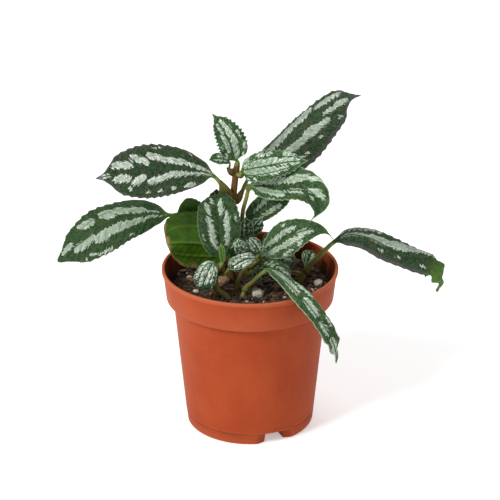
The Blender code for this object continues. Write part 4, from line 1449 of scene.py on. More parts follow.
LEAVES = (
    Leaf(
        "leaf_top_left", "main_stem", 105.5,
        ((-15.6, 0, 119.7), (-26.6, -2, 123.2), (-39.8, -4, 124.2), (-53.8, -7, 124), (-68, -9, 122.7)),
        24.5, (-4, 34), via=((-12, 1, 113.5),), widest=0.54, fullness=1.6, drawn_out=0.7, fold=6, teeth=8,
        age=Age.BRIGHT, midrib=-0.1, broad=0.15, stalk=(1.2, 0.9),
        streaks=(
            (4, 10, 26, 13, 7), (26, 14, 42, 20, 14), (42, 24, 56, 40, 14), (61, 19, 69, 40, 16),
            (74, 18, 83, 27, 19), (18, 78, 25, 80, 8), (35, 75, 37, 75, 7), (47, 76, 49, 77, 5),
            (57, 78, 60, 78, 5), (72, 72, 74, 62, 5), (5, -26, 26, -36, 8), (27, -39, 42, -42, 12),
            (42, -42, 55, -58, 13), (57, -34, 68, -62, 14), (71, -33, 83, -55, 16), (22, -85, 26, -85, 3),
            (45, -86, 52, -84, 3), (89, -5, 97, 0, 9),
        ),
    ),
    Leaf(
        "leaf_top_right", "main_stem", 107.5,
        ((0.9, 8, 118.4), (9, 10, 124.1), (17.4, 11, 130.4), (25.4, 12, 138.2), (33.3, 12, 146.3),
         (40.8, 11, 152.5), (49, 9, 154.9)),
        25.5, (-28, 43), via=((-2.5, 6, 113),), fold=0, cup=-50, teeth=8, widest=0.42, fullness=1.2,
        drawn_out=0.7, age=Age.GREY, midrib=0.06,
        streaks=(
            (27, -15, 47, -25, 15), (48, -20, 58, -30, 22), (58, -30, 68, -42, 13), (69, -6, 80, -22, 9),
            (80, -10, 88, -30, 13), (33, -65, 41, -68, 4), (55, -63, 57, -63, 5), (76, -70, 79, -75, 5),
            (20, 42, 44, 55, 19), (47, 50, 60, 58, 19), (66, 45, 84, 50, 13), (30, 88, 38, 90, 5),
            (50, 88, 54, 88, 5),
        ),
    ),
    Leaf(
        "leaf_low_left", "main_stem", 93,
        ((-35.6, 17, 94), (-45.8, 15, 95.4), (-55.7, 11.6, 94.6), (-66.6, 7.4, 91.2), (-77.2, 3.5, 84.8),
         (-87.1, 0, 78.3)),
        22.5, (-10, 44), via=((-13, 12, 94.5), (-23, 18.5, 96)), fold=-6, teeth=8, widest=0.56,
        fullness=1.3, wave=0.8, midrib=-0.05, fresh_base=0.1, broad=0.35,
        streaks=(
            (3, 14, 24, 28, 4), (24, 30, 38, 28, 11), (38, 27, 52, 25, 20), (52, 23, 64, 29, 22),
            (66, 4, 70, 8, 10), (71, 10, 82, 11, 18), (10, -10, 20, -20, 5), (22, -25, 35, -42, 12),
            (33, -38, 42, -50, 15), (45, -42, 52, -55, 20), (61, -50, 70, -66, 15), (84, -32, 92, -38, 11),
            (58, 88, 70, 90, 6), (72, 80, 76, 72, 5), (80, 84, 81, 84, 4), (36, 80, 40, 80, 3),
        ),
    ),
    Leaf(
        "leaf_centre", "front_left_stem", None,
        ((-12.5, -12, 84), (-13.1, -11, 94), (-14, -8, 103.8), (-15.2, -5, 110), (-15.8, -1, 111.5)),
        19.5, (-4, 18), fold=6, widest=0.56, fullness=0.95, drawn_out=0.1,
        streaks=(
            (18, 28, 30, 30, 7), (28, 32, 50, 40, 12), (50, 36, 66, 48, 10), (70, 37, 83, 55, 8),
            (85, 18, 90, 33, 6), (25, -38, 45, -36, 10), (45, -35, 68, -42, 11), (68, -12, 86, -30, 9),
            (20, -65, 30, -80, 4), (34, 80, 40, 82, 3), (58, -80, 64, -80, 3),
        ),
    ),
    Leaf(
        "leaf_mid_right", "front_stem", None,
        ((4.1, -8, 84.5), (11.2, -9, 90), (18, -10, 95.4), (24.7, -10, 98.2), (31.5, -8, 97.6),
         (37.5, -5, 91.3)),
        15.5, (0, 34), fold=6, widest=0.37, fullness=3.3, drawn_out=0.4, age=Age.LIGHT, fresh_tip=0.74,
        broad=0.4,
        streaks=(
            (8, 62, 16, 43, 5), (16, 42, 34, 34, 8), (34, 34, 50, 40, 8), (5, -28, 30, -32, 11),
            (30, -31, 53, -38, 12), (53, -12, 66, -16, 10), (40, 74, 44, 76, 4), (26, -85, 40, -75, 4),
            (48, -74, 52, -70, 4),
        ),
    ),
    Leaf(
        "leaf_far_right", "far_leaf_stub", None,
        ((37.6, 0, 87.8), (43, -1, 92), (51.6, -3, 92.5), (62.6, -5, 88.1), (73.6, -7, 83.5),
         (82.9, -8, 79.2), (85.7, -7.5, 73.7), (84.6, -6, 66)),
        14.2, (4, 56), via=((31.5, 1, 80.8),), fold=0, cup=-35, twist=30, teeth=8, widest=0.4,
        fullness=0.85, drawn_out=0.4, age=Age.GREY, midrib=-0.12, fresh_base=0.06, fresh_tip=0.7,
        ragged=1.5, stalk=(1.3, 1),
        streaks=(
            (8, -12, 30, 0, 8), (30, 2, 45, 16, 17), (45, 24, 56, 42, 19), (56, 50, 66, 72, 14),
            (66, 74, 76, 84, 8), (8, 46, 34, 68, 8), (12, 80, 24, 86, 4), (68, -45, 71, -45, 4),
            (36, -55, 40, -55, 2.5), (50, -50, 53, -52, 2.5),
        ),
    ),
    Leaf(
        "leaf_over_rim", "rim_leaf_stub", None,
        ((7.1, -18, 82), (13, -25, 82), (18.7, -32.2, 79.9), (24.9, -37.4, 75), (30.6, -40.4, 68.4),
         (35.5, -41.2, 59.8), (38.2, -41, 47.7)),
        9.6, (35, 48), via=((0.9, -16, 75.3), (4, -17.5, 79.3)), fold=8, teeth=8, fullness=1.2,
        age=Age.LIGHT, broad=0.4, crinkle=0.3, ragged=0.8, stalk=(1.2, 0.9),
        streaks=(
            (7, 45, 24, 22, 10), (23, 14, 36, -2, 13), (45, 12, 57, -5, 16), (64, -20, 74, -25, 11),
            (28, 78, 46, 82, 5), (80, -5, 92, -15, 12), (62, 70, 70, 72, 4),
        ),
    ),
    Leaf(
        "leaf_upper_right", "shoot_stem", None,
        ((-0.8, -1, 115.8), (3.6, -2.5, 116.2), (11.1, -6, 117.4), (19, -10, 118.8), (25.5, -13, 118.7),
         (29.4, -14.5, 115.2), (29.5, -15.5, 109.9), (26, -16.5, 104.8)),
        20, (4, 46), fold=28, teeth=8, widest=0.4, fullness=1.9, drawn_out=0.8, age=Age.LIGHT,
        fresh_base=0.16,
        streaks=(
            (3, 16, 18, 20, 5), (18, 22, 38, 28, 11), (4, 50, 22, 62, 4), (3, -10, 12, -24, 5),
            (38, 26, 48, 32, 12), (44, 32, 60, 60, 15), (64, 0, 74, 42, 12), (60, 60, 66, 92, 8),
            (12, -26, 27, -48, 16), (27, -48, 42, -62, 19), (42, -30, 48, -42, 4), (50, -40, 60, -42, 8),
            (46, -14, 58, -10, 4), (30, -92, 36, -92, 3), (68, -30, 74, -40, 4),
        ),
    ),
    Leaf(
        "leaf_inner_right", "shoot_stem", 92.5,
        ((-1, 4, 96), (2.7, 6, 99.4), (9, 8, 103.3), (15.3, 9, 106.8), (19.8, 9.5, 109)),
        11.5, (2, 26), fold=8, teeth=6, widest=0.45, fullness=1.1, age=Age.LIGHT, stalk=(0.7, 0.6),
        streaks=(
            (20, 15, 35, 30, 6), (33, 25, 55, 50, 8), (10, -70, 40, -55, 5), (40, -50, 65, -55, 8),
            (60, 40, 72, 12, 4),
        ),
    ),
    Leaf(
        "leaf_pot_left", "main_stem", 84, ((-12, 4, 84), (-24.5, 8.5, 84), (-38.2, 12, 82)),
        31, (172, 8), fullness=0.65, fold=6, drawn_out=0, age=Age.PALE, dry_tip=0.93, dry_side=-1,
    ),
    # leaf_inner_left: a fresh_base of 2.5 spreads the fresh green over the whole blade, painted light on a
    # leaf that lies in shade
    Leaf(
        "leaf_inner_left", "main_stem", 87.5,
        ((-18.2, 12.2, 90), (-23.4, 13.6, 94.6), (-28.2, 14, 98), (-31.8, 14.2, 100.1)),
        12.5, (-5, 12), via=((-12.2, 8, 89.5),), fold=3, puff=0.3, wave=0.2, teeth=5, widest=0.6,
        fullness=0.8, drawn_out=0, age=Age.SHADED, fresh_base=2.5,
        streaks=(
            (30, 30, 44, 34, 3), (34, -34, 50, -38, 3),
        ),
    ),
    Leaf(
        "leaf_inner_tip", "main_stem", 98, ((-13, 5, 100.6), (-14.6, 6, 106), (-15, 6, 111.4)),
        8, (-6, 20), teeth=4, stalk=(0.6, 0.5),
    ),
    Leaf(
        "leaf_crown_left", "main_stem", None,
        ((-6, 1.5, 127), (-7, 0.5, 132.2), (-8.9, -1, 138.6), (-12.1, -1.5, 144.4), (-16.6, -2, 150.5)),
        13.5, (6, 18), fold=10, tooth=0.2, fullness=1.3, widest=0.38, drawn_out=0.6, age=Age.YOUNG,
        midrib=0.12, broad=0.45, crinkle=0.3,
        streaks=(
            (8, -12, 30, -12, 9), (30, -13, 48, -25, 11), (53, -8, 66, -35, 10), (71, -10, 80, -30, 9),
            (25, 36, 60, 43, 9), (62, 24, 80, 36, 7), (12, 74, 20, 68, 5), (10, -80, 13, -72, 5),
            (22, -80, 32, -76, 6), (43, -68, 45, -68, 4), (50, -70, 54, -70, 5), (34, 76, 42, 76, 3),
        ),
    ),
    Leaf(
        "leaf_crown_right", "main_stem", 120.5,
        ((-3.8, -1, 122.5), (1.2, -3, 124.8), (7.2, -4.5, 126.7), (14.7, -6, 128.8), (25.5, -7.5, 130.5)),
        14, (5, 34), fold=8, tooth=0.17, fullness=1.3, widest=0.38, age=Age.YOUNG, midrib=0.02, broad=0.6,
        crinkle=0.35, stalk=(0.8, 0.75),
        streaks=(
            (14, 36, 40, 24, 13), (40, 20, 55, 32, 10), (55, 17, 64, 10, 9), (65, 8, 71, 12, 14),
            (77, 12, 85, 5, 14), (10, -14, 25, -28, 13), (25, -30, 40, -38, 14), (44, -30, 55, -48, 14),
            (55, -42, 70, -48, 7), (8, 62, 12, 86, 11), (30, 75, 38, 72, 7), (45, 70, 50, 78, 6),
            (70, 72, 78, 86, 10), (12, -75, 14, -78, 4), (20, -82, 24, -80, 4),
        ),
    ),
    Leaf(
        "leaf_crown_small", "main_stem", 122, ((-9, 1, 126), (-13.5, -1, 128.6), (-18.2, -3, 129)),
        6, (0, 50), teeth=4, puff=0.2, wave=0.2, age=Age.YOUNG, stalk=(0.6, 0.5),
        streaks=(
            (25, 15, 40, 5, 7), (50, 25, 60, 20, 8), (40, -55, 60, -45, 6), (70, 30, 76, 25, 5),
        ),
    ),
    Leaf(
        "leaf_front_left", "front_left_stem", 79,
        ((-16, -15.8, 85.5), (-17.6, -17, 83.2), (-19.6, -18.5, 78.8), (-21.6, -20, 73.3)),
        10.5, (-12, 40), teeth=5, tooth=0.18, fullness=1, drawn_out=0.2, age=Age.CRISP, crinkle=0.9,
        broad=0.7, stalk=(0.7, 0.6),
        streaks=(
            (15, -10, 28, -5, 13), (50, 15, 70, 15, 8), (38, -20, 50, -30, 8), (60, -25, 85, -35, 7),
            (20, 60, 45, 42, 8), (55, 66, 62, 66, 5), (15, -60, 45, -70, 7), (50, -70, 70, -74, 5),
            (30, 20, 42, 10, 5),
        ),
    ),
    Leaf(
        "leaf_front_small", "front_left_stem", 79, ((-9.2, -15, 81.9), (-6, -17, 84.9), (-2.2, -18, 87.8)),
        7.5, (8, 18), teeth=4, tooth=0.1, age=Age.CRISP, crinkle=0.4, stalk=(0.7, 0.6),
        streaks=(
            (20, 55, 45, 62, 7), (70, 25, 88, 45, 7), (25, -45, 60, -40, 5),
        ),
    ),
    Leaf(
        "leaf_bud", "front_left_stem", 80.5, ((-12.2, -16.2, 85.5), (-12.3, -16.5, 90), (-12.9, -16, 94.5)),
        2.8, (0, 10), teeth=3, tooth=0, puff=0.1, wave=0, fullness=0.8, age=Age.PALE, stalk=(0.7, 0.8),
    ),
    Leaf(
        "leaf_curl_front", "front_stem", 82, ((0, -10.5, 85.4), (-3.1, -13.8, 90.6), (-7.1, -15.6, 95)),
        7, (-10, 30), **CURLED,
    ),
    Leaf(
        "leaf_curl_back", "front_stem", 80.5, ((1, -4.5, 84.6), (0, -4, 88.8), (-1.3, -3, 92.3)),
        8, (0, 25), **CURLED,
    ),
    Leaf(
        "leaf_shoot_left", "shoot_stem", 84, ((-1.8, 1, 87.1), (-1.6, -1.5, 94.6), (-2, -2.5, 101.4)),
        7, (0, 15), **CURLED,
    ),
    Leaf(
        "leaf_shoot_right", "shoot_stem", 87.5, ((-0.6, 2.6, 89.9), (2.3, 1.2, 95.5), (5.4, 0.6, 99.6)),
        7.5, (10, 15), **CURLED,
    ),
    Leaf(
        "leaf_under_front", "front_stem", 77, ((1, -9.5, 78.8), (4, -11, 77), (7.5, -12, 74.5)),
        7, (20, 45), teeth=4, tooth=0.08, age=Age.SHADED, stalk=(0.6, 0.5),
    ),
    Leaf(
        "leaf_under_middle", "front_stem", 78.5, ((4, -5, 80), (11, -3.5, 78), (18.5, -2, 73.5)),
        12, (10, 50), teeth=5, **IN_SHADE,
    ),
    Leaf(
        "leaf_under_right", "far_leaf_stub", 68.8, ((25.5, 8, 72), (27, 11, 75), (28.5, 14, 77.5)),
        8, (10, 30), teeth=4, **IN_SHADE,
    ),
    Leaf(
        "leaf_under_left", "far_leaf_stub", 70, ((18, 4.5, 71.5), (16.6, 6, 76), (16.2, 8, 81)),
        9, (-5, 25), teeth=5, **IN_SHADE,
    ),
    Leaf(
        "leaf_back_left", "main_stem", 81.5, ((-10.5, 9.5, 84.5), (-16, 26, 87), (-20, 43.6, 79)),
        18, (190, 68), fold=10, teeth=6,
    ),
    Leaf(
        "leaf_back_right", "shoot_stem", 74, ((6, 14, 76.5), (13, 23, 80), (21, 32, 77.5)),
        13, (150, 70), fold=10, teeth=5,
    ),
    Leaf(
        "tuft_leaf_front", "front_stem", 80.5,
        ((3, -17, 87.2), (-0.6, -19, 88.4), (-4.8, -20.2, 87), (-8.8, -20.8, 84)),
        6.6, (-6, 42), via=((3.4, -13, 84.6),), teeth=5, tooth=0.12, fullness=1.1, age=Age.CRISP,
        crinkle=0.5, broad=0.4, extra=True, stalk=(0.6, 0.5),
        streaks=(
            (15, 35, 50, 45, 8), (55, 40, 80, 35, 7), (15, -35, 45, -45, 8), (52, -42, 82, -35, 7),
            (30, 85, 60, 88, 3), (30, -85, 60, -88, 3),
        ),
    ),
    Leaf(
        "tuft_leaf_left", "front_stem", 81.5, ((-1, -13, 88.6), (-3.8, -14.6, 92.4), (-5.2, -15.2, 96.6)),
        5.4, (-14, 22), **IN_TUFT,
    ),
    Leaf(
        "tuft_leaf_right", "front_stem", 82, ((4, -12.6, 88), (2.4, -13.6, 92.6), (-0.4, -14, 96.4)),
        5.6, (14, 24), **IN_TUFT,
    ),
    Leaf(
        "tuft_leaf_low", "front_stem", 78,
        ((3.4, -11.2, 80.4), (8.8, -13.4, 81.4), (14.6, -14.2, 79), (18.6, -14.4, 75.6)),
        8.6, (12, 48), **UNDER_TUFT,
    ),
    Leaf(
        "tuft_leaf_shade", "front_stem", 79.5, ((5.6, -6, 82.6), (12.6, -6.4, 84.2), (20, -6, 82)),
        9, (8, 44), **UNDER_TUFT,
    ),
)


class Row(NamedTuple):
    """Rule for one row of silvery patches along a side of the blade.

    Pairs are the least and greatest of what is drawn. Lengths are shares of the blade's length,
    `place` and `drift` are shares of the half width, and `width` is a share of the leaf's width.
    """

    start: Pair
    end: float
    run: Pair
    place: Pair
    drift: float
    width: float
    uneven: Pair
    pause: Pair


class Station(NamedTuple):
    """One place on a leaf's path, where a ring of its mesh lies.

    `share` is the share of the path, `s` that of the blade, below nothing on the stalk, and `half`
    half the blade's width there without its teeth.
    """

    share: float
    s: float
    half: float
    centre: Array
    up: Array
    side: Array


@dataclass
class LeafMaker:
    """Builds one leaf as a thin toothed blade with sunken veins on a round stalk.

    `t` runs across the blade from -1 to 1, and `v` does from -1 to 1 with nothing on the midrib.
    """

    leaf: Leaf
    number: int
    stems: dict[str, Stem]
    mesh_step: float = 0.55
    stalk_step: float = 0.8
    stalk_start: float = 1.2
    stalk_seat: float = 0.1
    stalk_depth: float = 0.5
    stalk_flare: float = 0.35
    flare_reach: float = 2.2
    thickness: float = 0.5
    margin_thickness: float = 0.18
    least_half: float = 0.12
    tip_taper: Pair = (0.8, 0.97)
    margin_waves: float = 2.5
    rib_groove: float = 0.4
    rib_reach: float = 0.65
    rib_keel: float = 0.9
    rib_keel_reach: float = 0.8
    lateral_groove: float = 0.16
    lateral_reach: float = 0.5
    lateral_keel: float = 0.16
    lateral_keel_reach: float = 0.45
    side_groove: float = 0.2
    side_spacing: float = 2.7
    patch_rise: float = 0.38
    full_relief_width: float = 14.0
    teeth_factor: float = 2.0
    teeth_ramp: Pair = (0.2, 0.4)
    tooth_share: float = 0.6
    tooth_rise: float = 0.72
    tooth_power: float = 1.3
    tooth_offset: float = 0.37
    torn_ramp: Pair = (0.7, 0.84)
    torn_lobes: float = 8.5
    neck_blend: float = 0.1
    rows: tuple[Row, ...] = (
        Row((0.08, 0.16), 0.84, (0.09, 0.2), (0.2, 0.28), 0.14, 0.055, (0.8, 1.2), (0.035, 0.06)),
        Row((0.18, 0.3), 0.74, (0.02, 0.07), (0.66, 0.78), 0.0, 0.025, (0.7, 1.4), (0.06, 0.14)),
    )
    path: Path = field(init=False)
    blade_start: float = field(init=False)
    length: float = field(init=False)
    t: Array = field(init=False)
    v: Array = field(init=False)
    halves: Array = field(init=False)
    streaks: tuple[Streak, ...] = field(init=False)

    def __post_init__(self) -> None:
        """Lay out the path, the columns across the blade and the patches."""
        self.path, self.blade_start = self.route()
        self.length = self.path.length * (1.0 - self.blade_start)
        columns = 2 * max(6, round(self.leaf.width / self.mesh_step / 2)) + 1
        self.t = np.linspace(-1.0, 1.0, columns)
        rib = self.leaf.midrib
        self.v = np.where(self.t > rib, (self.t - rib) / (1 - rib), (self.t - rib) / (1 + rib))
        self.halves = np.array([self.half_width(s) for s in np.linspace(0.0, 1.0, 101)])
        self.streaks = self.patches()

    def route(self) -> tuple[Path, float]:
        """Lay the path from inside the stem along stalk and midrib.

        Returns:
            The path, and the share of it where the blade starts.
        """
        leaf = self.leaf
        stem = self.stems[leaf.stem]
        path = Path(stem.points)
        following = np.array((*leaf.via, *leaf.spine)[0], float)
        if leaf.height is None:
            share = 1.0
            out = path.along(share)
            start = path.at(share) + out * SOLID_GAP
        else:
            share = path.share_at_height(leaf.height)
            out = square_to(following - path.at(share), path.along(share))
            start = path.at(share) + out * (stem.radius(share) + SOLID_GAP)
        start = start + out * self.stalk_seat
        whole = Path([start, start + out * self.stalk_start, *leaf.via, *leaf.spine])
        whole.slopes[0] = out * whole.length
        return whole, whole.shares[2 + len(leaf.via)]

    def half_width(self, share: float) -> float:
        """Half the blade's width without its teeth.

        Args:
            share: share of the blade's length.

        Returns:
            The half width there.
        """
        leaf = self.leaf
        p, k = leaf.widest, leaf.fullness
        swell = 0.0
        if 0.0 < share < 1.0:
            swell = (share / p) ** (p * k) * ((1.0 - share) / (1.0 - p)) ** ((1.0 - p) * k)
        swell *= 1.0 - leaf.drawn_out * float(eased(share, *self.tip_taper))
        neck = leaf.stalk[1] * (1.0 - share)
        return max(math.hypot(leaf.width / 2.0 * swell, neck), self.least_half)

    def tooth(self, at: Station) -> Array:
        """How far the forward teeth move the margin outwards.

        Args:
            at: the station.

        Returns:
            A move for each column.
        """
        count = self.leaf.teeth * self.teeth_factor
        phase = (at.s * count + np.where(self.t > 0, 0.0, self.tooth_offset)) % 1.0
        falling = (1.0 - phase) / (1.0 - self.tooth_rise)
        saw = np.where(phase < self.tooth_rise, phase / self.tooth_rise, falling) ** self.tooth_power
        ramp = np.interp(at.s, self.teeth_ramp, (0.0, 1.0))
        size = self.leaf.tooth * self.tooth_share * at.half * ramp
        return np.sign(self.t) * size * (saw * 2.0 - 1.0) * eased(np.abs(self.t), 0.8, 1.0)

    def torn(self, at: Station) -> Array:
        """How far the lobes of a torn tip move the margin outwards.

        Args:
            at: the station.

        Returns:
            A move for each column.
        """
        size = self.leaf.ragged * min(at.half / 2.0, 1.0) * float(eased(at.s, *self.torn_ramp))
        lobes = np.sin(math.tau * self.torn_lobes * at.s + 1.3 * np.sign(self.t))
        return np.sign(self.t) * size * lobes * eased(np.abs(self.t), 0.3, 1.0)

    def patches(self) -> tuple[Streak, ...]:
        """Find the leaf's silvery patches.

        Returns:
            Its own streaks, or rows drawn by rule where it has none.
        """
        if self.leaf.streaks or self.leaf.age is Age.PALE:
            return tuple((a / 100, b / 100, c / 100, d / 100, e / 10) for a, b, c, d, e in self.leaf.streaks)
        draw = random.Random(self.number * 7 + 1)
        made = []
        for side in (-1.0, 1.0):
            for row in self.rows:
                s = draw.uniform(*row.start)
                while s < row.end:
                    run = draw.uniform(*row.run)
                    t = draw.uniform(*row.place)
                    wide = row.width * self.leaf.width * draw.uniform(*row.uneven)
                    made.append((s, side * t, s + run, side * (t + row.drift), wide))
                    s += run + draw.uniform(*row.pause)
        return tuple(made)

    def silver(self, at: Station) -> Array:
        """How deep each column lies inside a silvery patch.

        Args:
            at: the station.

        Returns:
            The depth, negative outside.
        """
        depth = np.full(len(self.t), OUTSIDE_PATCH)
        if at.s < 0.0:
            return depth
        x, y = at.s * self.length, self.t * at.half
        shares = np.linspace(0.0, 1.0, len(self.halves))
        for s0, t0, s1, t1, reach in self.streaks:
            a = np.array([s0 * self.length, t0 * np.interp(s0, shares, self.halves)])
            b = np.array([s1 * self.length, t1 * np.interp(s1, shares, self.halves)])
            run = b - a
            k = np.clip(((x - a[0]) * run[0] + (y - a[1]) * run[1]) / max(run @ run, 1e-6), 0.0, 1.0)
            far = np.hypot(x - a[0] - k * run[0], y - a[1] - k * run[1])
            wide = reach + self.leaf.broad * min(reach, 1.0)
            depth = np.maximum(depth, wide * (0.8 + 0.2 * np.sin(math.pi * k)) - far)
        return depth

    def relief(self, at: Station, deep: Array) -> Array:
        """Height of the upper face over its plain form: grooves over the veins, raised patches.

        Args:
            at: the station.
            deep: depth inside a patch.

        Returns:
            The height at each column.
        """
        v, x, y = self.v, at.s * self.length, self.from_rib(at)
        half = np.maximum(np.abs(y / np.where(np.abs(v) < 1e-3, 1e-3, v)), 0.5)
        size = min(self.leaf.width / self.full_relief_width, 1.0)
        fade = math.sqrt(max(1.0 - at.s, 0.0)) * size
        height = -self.rib_groove * np.exp(-((y / self.rib_reach) ** 2)) * fade
        beside = (np.abs(v) - LATERAL_VEIN) * half / self.lateral_reach
        height -= self.lateral_groove * np.exp(-(beside**2)) * fade
        height += self.patch_rise * eased(deep, -0.3, 0.9) * size
        over = VEIN_SLANT[0] * x - VEIN_SLANT[1] * np.abs(y)
        height -= self.side_groove * (0.5 + 0.5 * np.cos(math.tau * over / self.side_spacing)) ** 2 * size
        crinkle = self.leaf.crinkle * 0.5 * np.sin(1.9 * x + 1.3 * self.number)
        return height + crinkle * np.sin(1.4 * y + 0.7 * x)

    def from_rib(self, at: Station) -> Array:
        """Distance of each column from the midrib."""
        return (self.t - self.leaf.midrib) * at.half

    def keel(self, at: Station) -> Array:
        """How far the veins stand out on the underside.

        Args:
            at: the station.

        Returns:
            The depth at each column.
        """
        rib = self.leaf.stalk[1] * self.rib_keel
        keel = rib * (1.0 - at.s) * np.exp(-((self.from_rib(at) / self.rib_keel_reach) ** 2))
        beside = (np.abs(self.v) - LATERAL_VEIN) * at.half / self.lateral_keel_reach
        return keel + self.lateral_keel * np.exp(-(beside**2)) * (1.0 - at.s)

    def round_ring(self, at: Station) -> tuple[Array, Array]:
        """Ring of the round stalk.

        Args:
            at: the station.

        Returns:
            Its upper and its lower half.
        """
        radius = float(np.interp(at.share, (0.0, self.blade_start), self.leaf.stalk))
        foot = 1.0 - float(eased(at.share * self.path.length, 0.0, self.flare_reach))
        radius *= 1.0 + self.stalk_flare * foot
        angle = np.radians(90.0 - 70.0 * self.t)
        wide, high = np.outer(np.cos(angle), at.side), np.outer(np.sin(angle), at.up)
        return at.centre + radius * (wide + high), at.centre + radius * (wide - high)

    def blade_ring(self, at: Station, deep: Array) -> tuple[Array, Array]:
        """Ring of the blade, which grows out of the round stalk.

        Args:
            at: the station.
            deep: depth inside a patch.

        Returns:
            Its upper and its lower half.
        """
        leaf, s, away, side = self.leaf, at.s, np.abs(self.t), np.sign(self.t)
        lean = np.radians(leaf.fold + leaf.cup * away / 2.0)
        size = at.half / (leaf.width / 2.0)
        wave = leaf.wave * size * away**2 * np.sin(math.tau * (self.margin_waves * s + side / 4))
        rise = leaf.puff * size * np.sin(math.pi * away) + wave
        across = away * at.half * np.cos(lean) * side + self.tooth(at) + self.torn(at)
        lift = away * at.half * np.sin(lean) + rise
        out = np.outer(np.cos(lean * side), at.up) - np.outer(np.sin(lean * side), at.side)
        thickness = (self.thickness, self.thickness * 0.8, self.margin_thickness)
        thick = np.minimum(np.interp(away, (0.0, 0.75, 1.0), thickness), 0.2 + at.half * 0.5)
        middle = at.centre + np.outer(across, at.side) + np.outer(lift, at.up)
        height = self.relief(at, deep)
        upper = middle + out * (thick / 2 + height)[:, None]
        lower = middle + out * (height * 0.8 - thick / 2 - self.keel(at))[:, None]
        blend = float(eased(s, 0.0, self.neck_blend))
        round_up, round_down = self.round_ring(at)
        return round_up * (1 - blend) + upper * blend, round_down * (1 - blend) + lower * blend

    def frames(self, shares: list[float], middle: int) -> list[Array]:
        """Upward unit vectors along the path, carried on from the blade's middle.

        Args:
            shares: places on the path.
            middle: which of them is the blade's middle.

        Returns:
            The vectors.
        """
        ahead = [self.path.along(share) for share in shares]
        ups: list[Array] = [np.zeros(3)] * len(shares)
        ups[middle] = square_to(facing(*self.leaf.face), ahead[middle])
        for i in range(middle + 1, len(shares)):
            ups[i] = square_to(ups[i - 1], ahead[i])
        for i in range(middle - 1, -1, -1):
            ups[i] = square_to(ups[i + 1], ahead[i])
        return ups

    def stations(self) -> list[Station]:
        """Lay out the rings of the mesh.

        Returns:
            The stations, from the stem to the tip.
        """
        path, start = self.path, self.blade_start
        steps = max(5, round(path.length * start / self.stalk_step))
        stalk = list(np.linspace(0.0, start, steps + 1)[:-1])
        count = 2 * max(12, round(self.length / self.mesh_step / 2))
        shares = stalk + [start + (1.0 - start) * i / count for i in range(count + 1)]
        made = []
        for share, up_side in zip(shares, self.frames(shares, len(stalk) + count // 2)):
            ahead, centre = path.along(share), path.at(share)
            s = (share - start) / (1.0 - start)
            up = turned(up_side, ahead, self.leaf.twist * (max(s, 0.0) - 0.5))
            if share == 0.0:
                centre = centre - ahead * (SOLID_GAP + self.stalk_seat + self.stalk_depth)
            made.append(Station(share, s, self.half_width(max(s, 0.0)), centre, up, np.cross(up, ahead)))
        return made

    def ring(self, at: Station) -> dict[str, Array]:
        """Points of one ring of the mesh and what they carry.

        Args:
            at: the station.

        Returns:
            The points and the fields, over the upper face and back under the lower one.
        """
        columns = len(self.t)
        on_blade = at.s >= 0.0
        s = max(at.s, 0.0)
        deep = self.silver(at)
        upper, lower = self.blade_ring(at, deep) if on_blade else self.round_ring(at)
        x = s * self.length if on_blade else at.share * self.path.length
        margin = (1.0 - np.abs(self.t)) * at.half
        blade = np.stack([np.full(columns, s), self.v, margin], -1)
        own = np.full(columns, self.number * 3.7)
        flat = np.stack([np.full(columns, x), self.from_rib(at), own], -1)
        tone = np.full(2 * columns, float(np.clip(at.share / max(self.blade_start, 1e-3), 0.0, 1.0)))
        both = {"silver": deep, "blade": blade, "flat": flat}
        made = {key: np.concatenate([values, values[::-1]]) for key, values in both.items()}
        return {"point": np.concatenate([upper, lower[::-1]]), "tone": tone, **made}

    def colouring(self, blade: Array) -> dict[str, Array]:
        """Fields of the fresh green and the dry brown parts.

        Args:
            blade: the mesh's blade field.

        Returns:
            The fields.
        """
        leaf, s, across = self.leaf, blade[:, 0], blade[:, 1]
        base = 1.0 - eased(s, leaf.fresh_base * 0.4, leaf.fresh_base)
        tip = eased(s, leaf.fresh_tip, leaf.fresh_tip + 0.14)
        dry = eased(s + 0.03 * np.sin(np.abs(across) * 9.0), leaf.dry_tip, leaf.dry_tip + 0.05)
        if leaf.dry_side:
            wavy = across * leaf.dry_side + 0.06 * np.sin(s * 23.0)
            dry = np.maximum(dry, 0.8 * eased(wavy, 0.72, 0.98))
        return {"fresh": np.maximum(base * (1.0 - 0.5 * np.abs(across)), tip), "dry": dry}

    def build(self, finishes: Finishes) -> None:
        """Build the leaf's piece.

        Args:
            finishes: materials by name.
        """
        stations = self.stations()
        rings = [self.ring(at) for at in stations]
        made = {key: np.concatenate([ring[key] for ring in rings]) for key in rings[0]}
        points = made.pop("point")
        fields = {**made, **self.colouring(made["blade"])}
        columns = len(self.t)
        ring, count = 2 * columns, len(stations)
        faces = ring_faces(count, ring)
        i, j = np.divmod(np.arange((count - 1) * ring), ring)
        finish_of = np.where(j >= columns, 1, 0)
        finish_of[i < sum(at.s < 0.0 for at in stations)] = 2
        faces.append(tuple(range(ring)))
        faces.append(tuple((count - 1) * ring + n for n in reversed(range(ring))))
        form = Form(points, faces, np.concatenate([finish_of, [2, 0]]), fields)
        leaf = self.leaf
        looks = ["leaf_face_" + leaf.age.value, "leaf_back_" + leaf.age.value, "leaf_stalk"]
        slots = {Age.YOUNG: Slot.YOUNG_LEAF, Age.CRISP: Slot.YOUNG_LEAF, Age.PALE: Slot.PALE_LEAF}
        stands_for = () if leaf.extra else (leaf.name,)
        slot = slots.get(leaf.age, Slot.OLD_LEAF)
        form.piece(leaf.name + "_fine", [finishes[look] for look in looks], slot, stands_for)


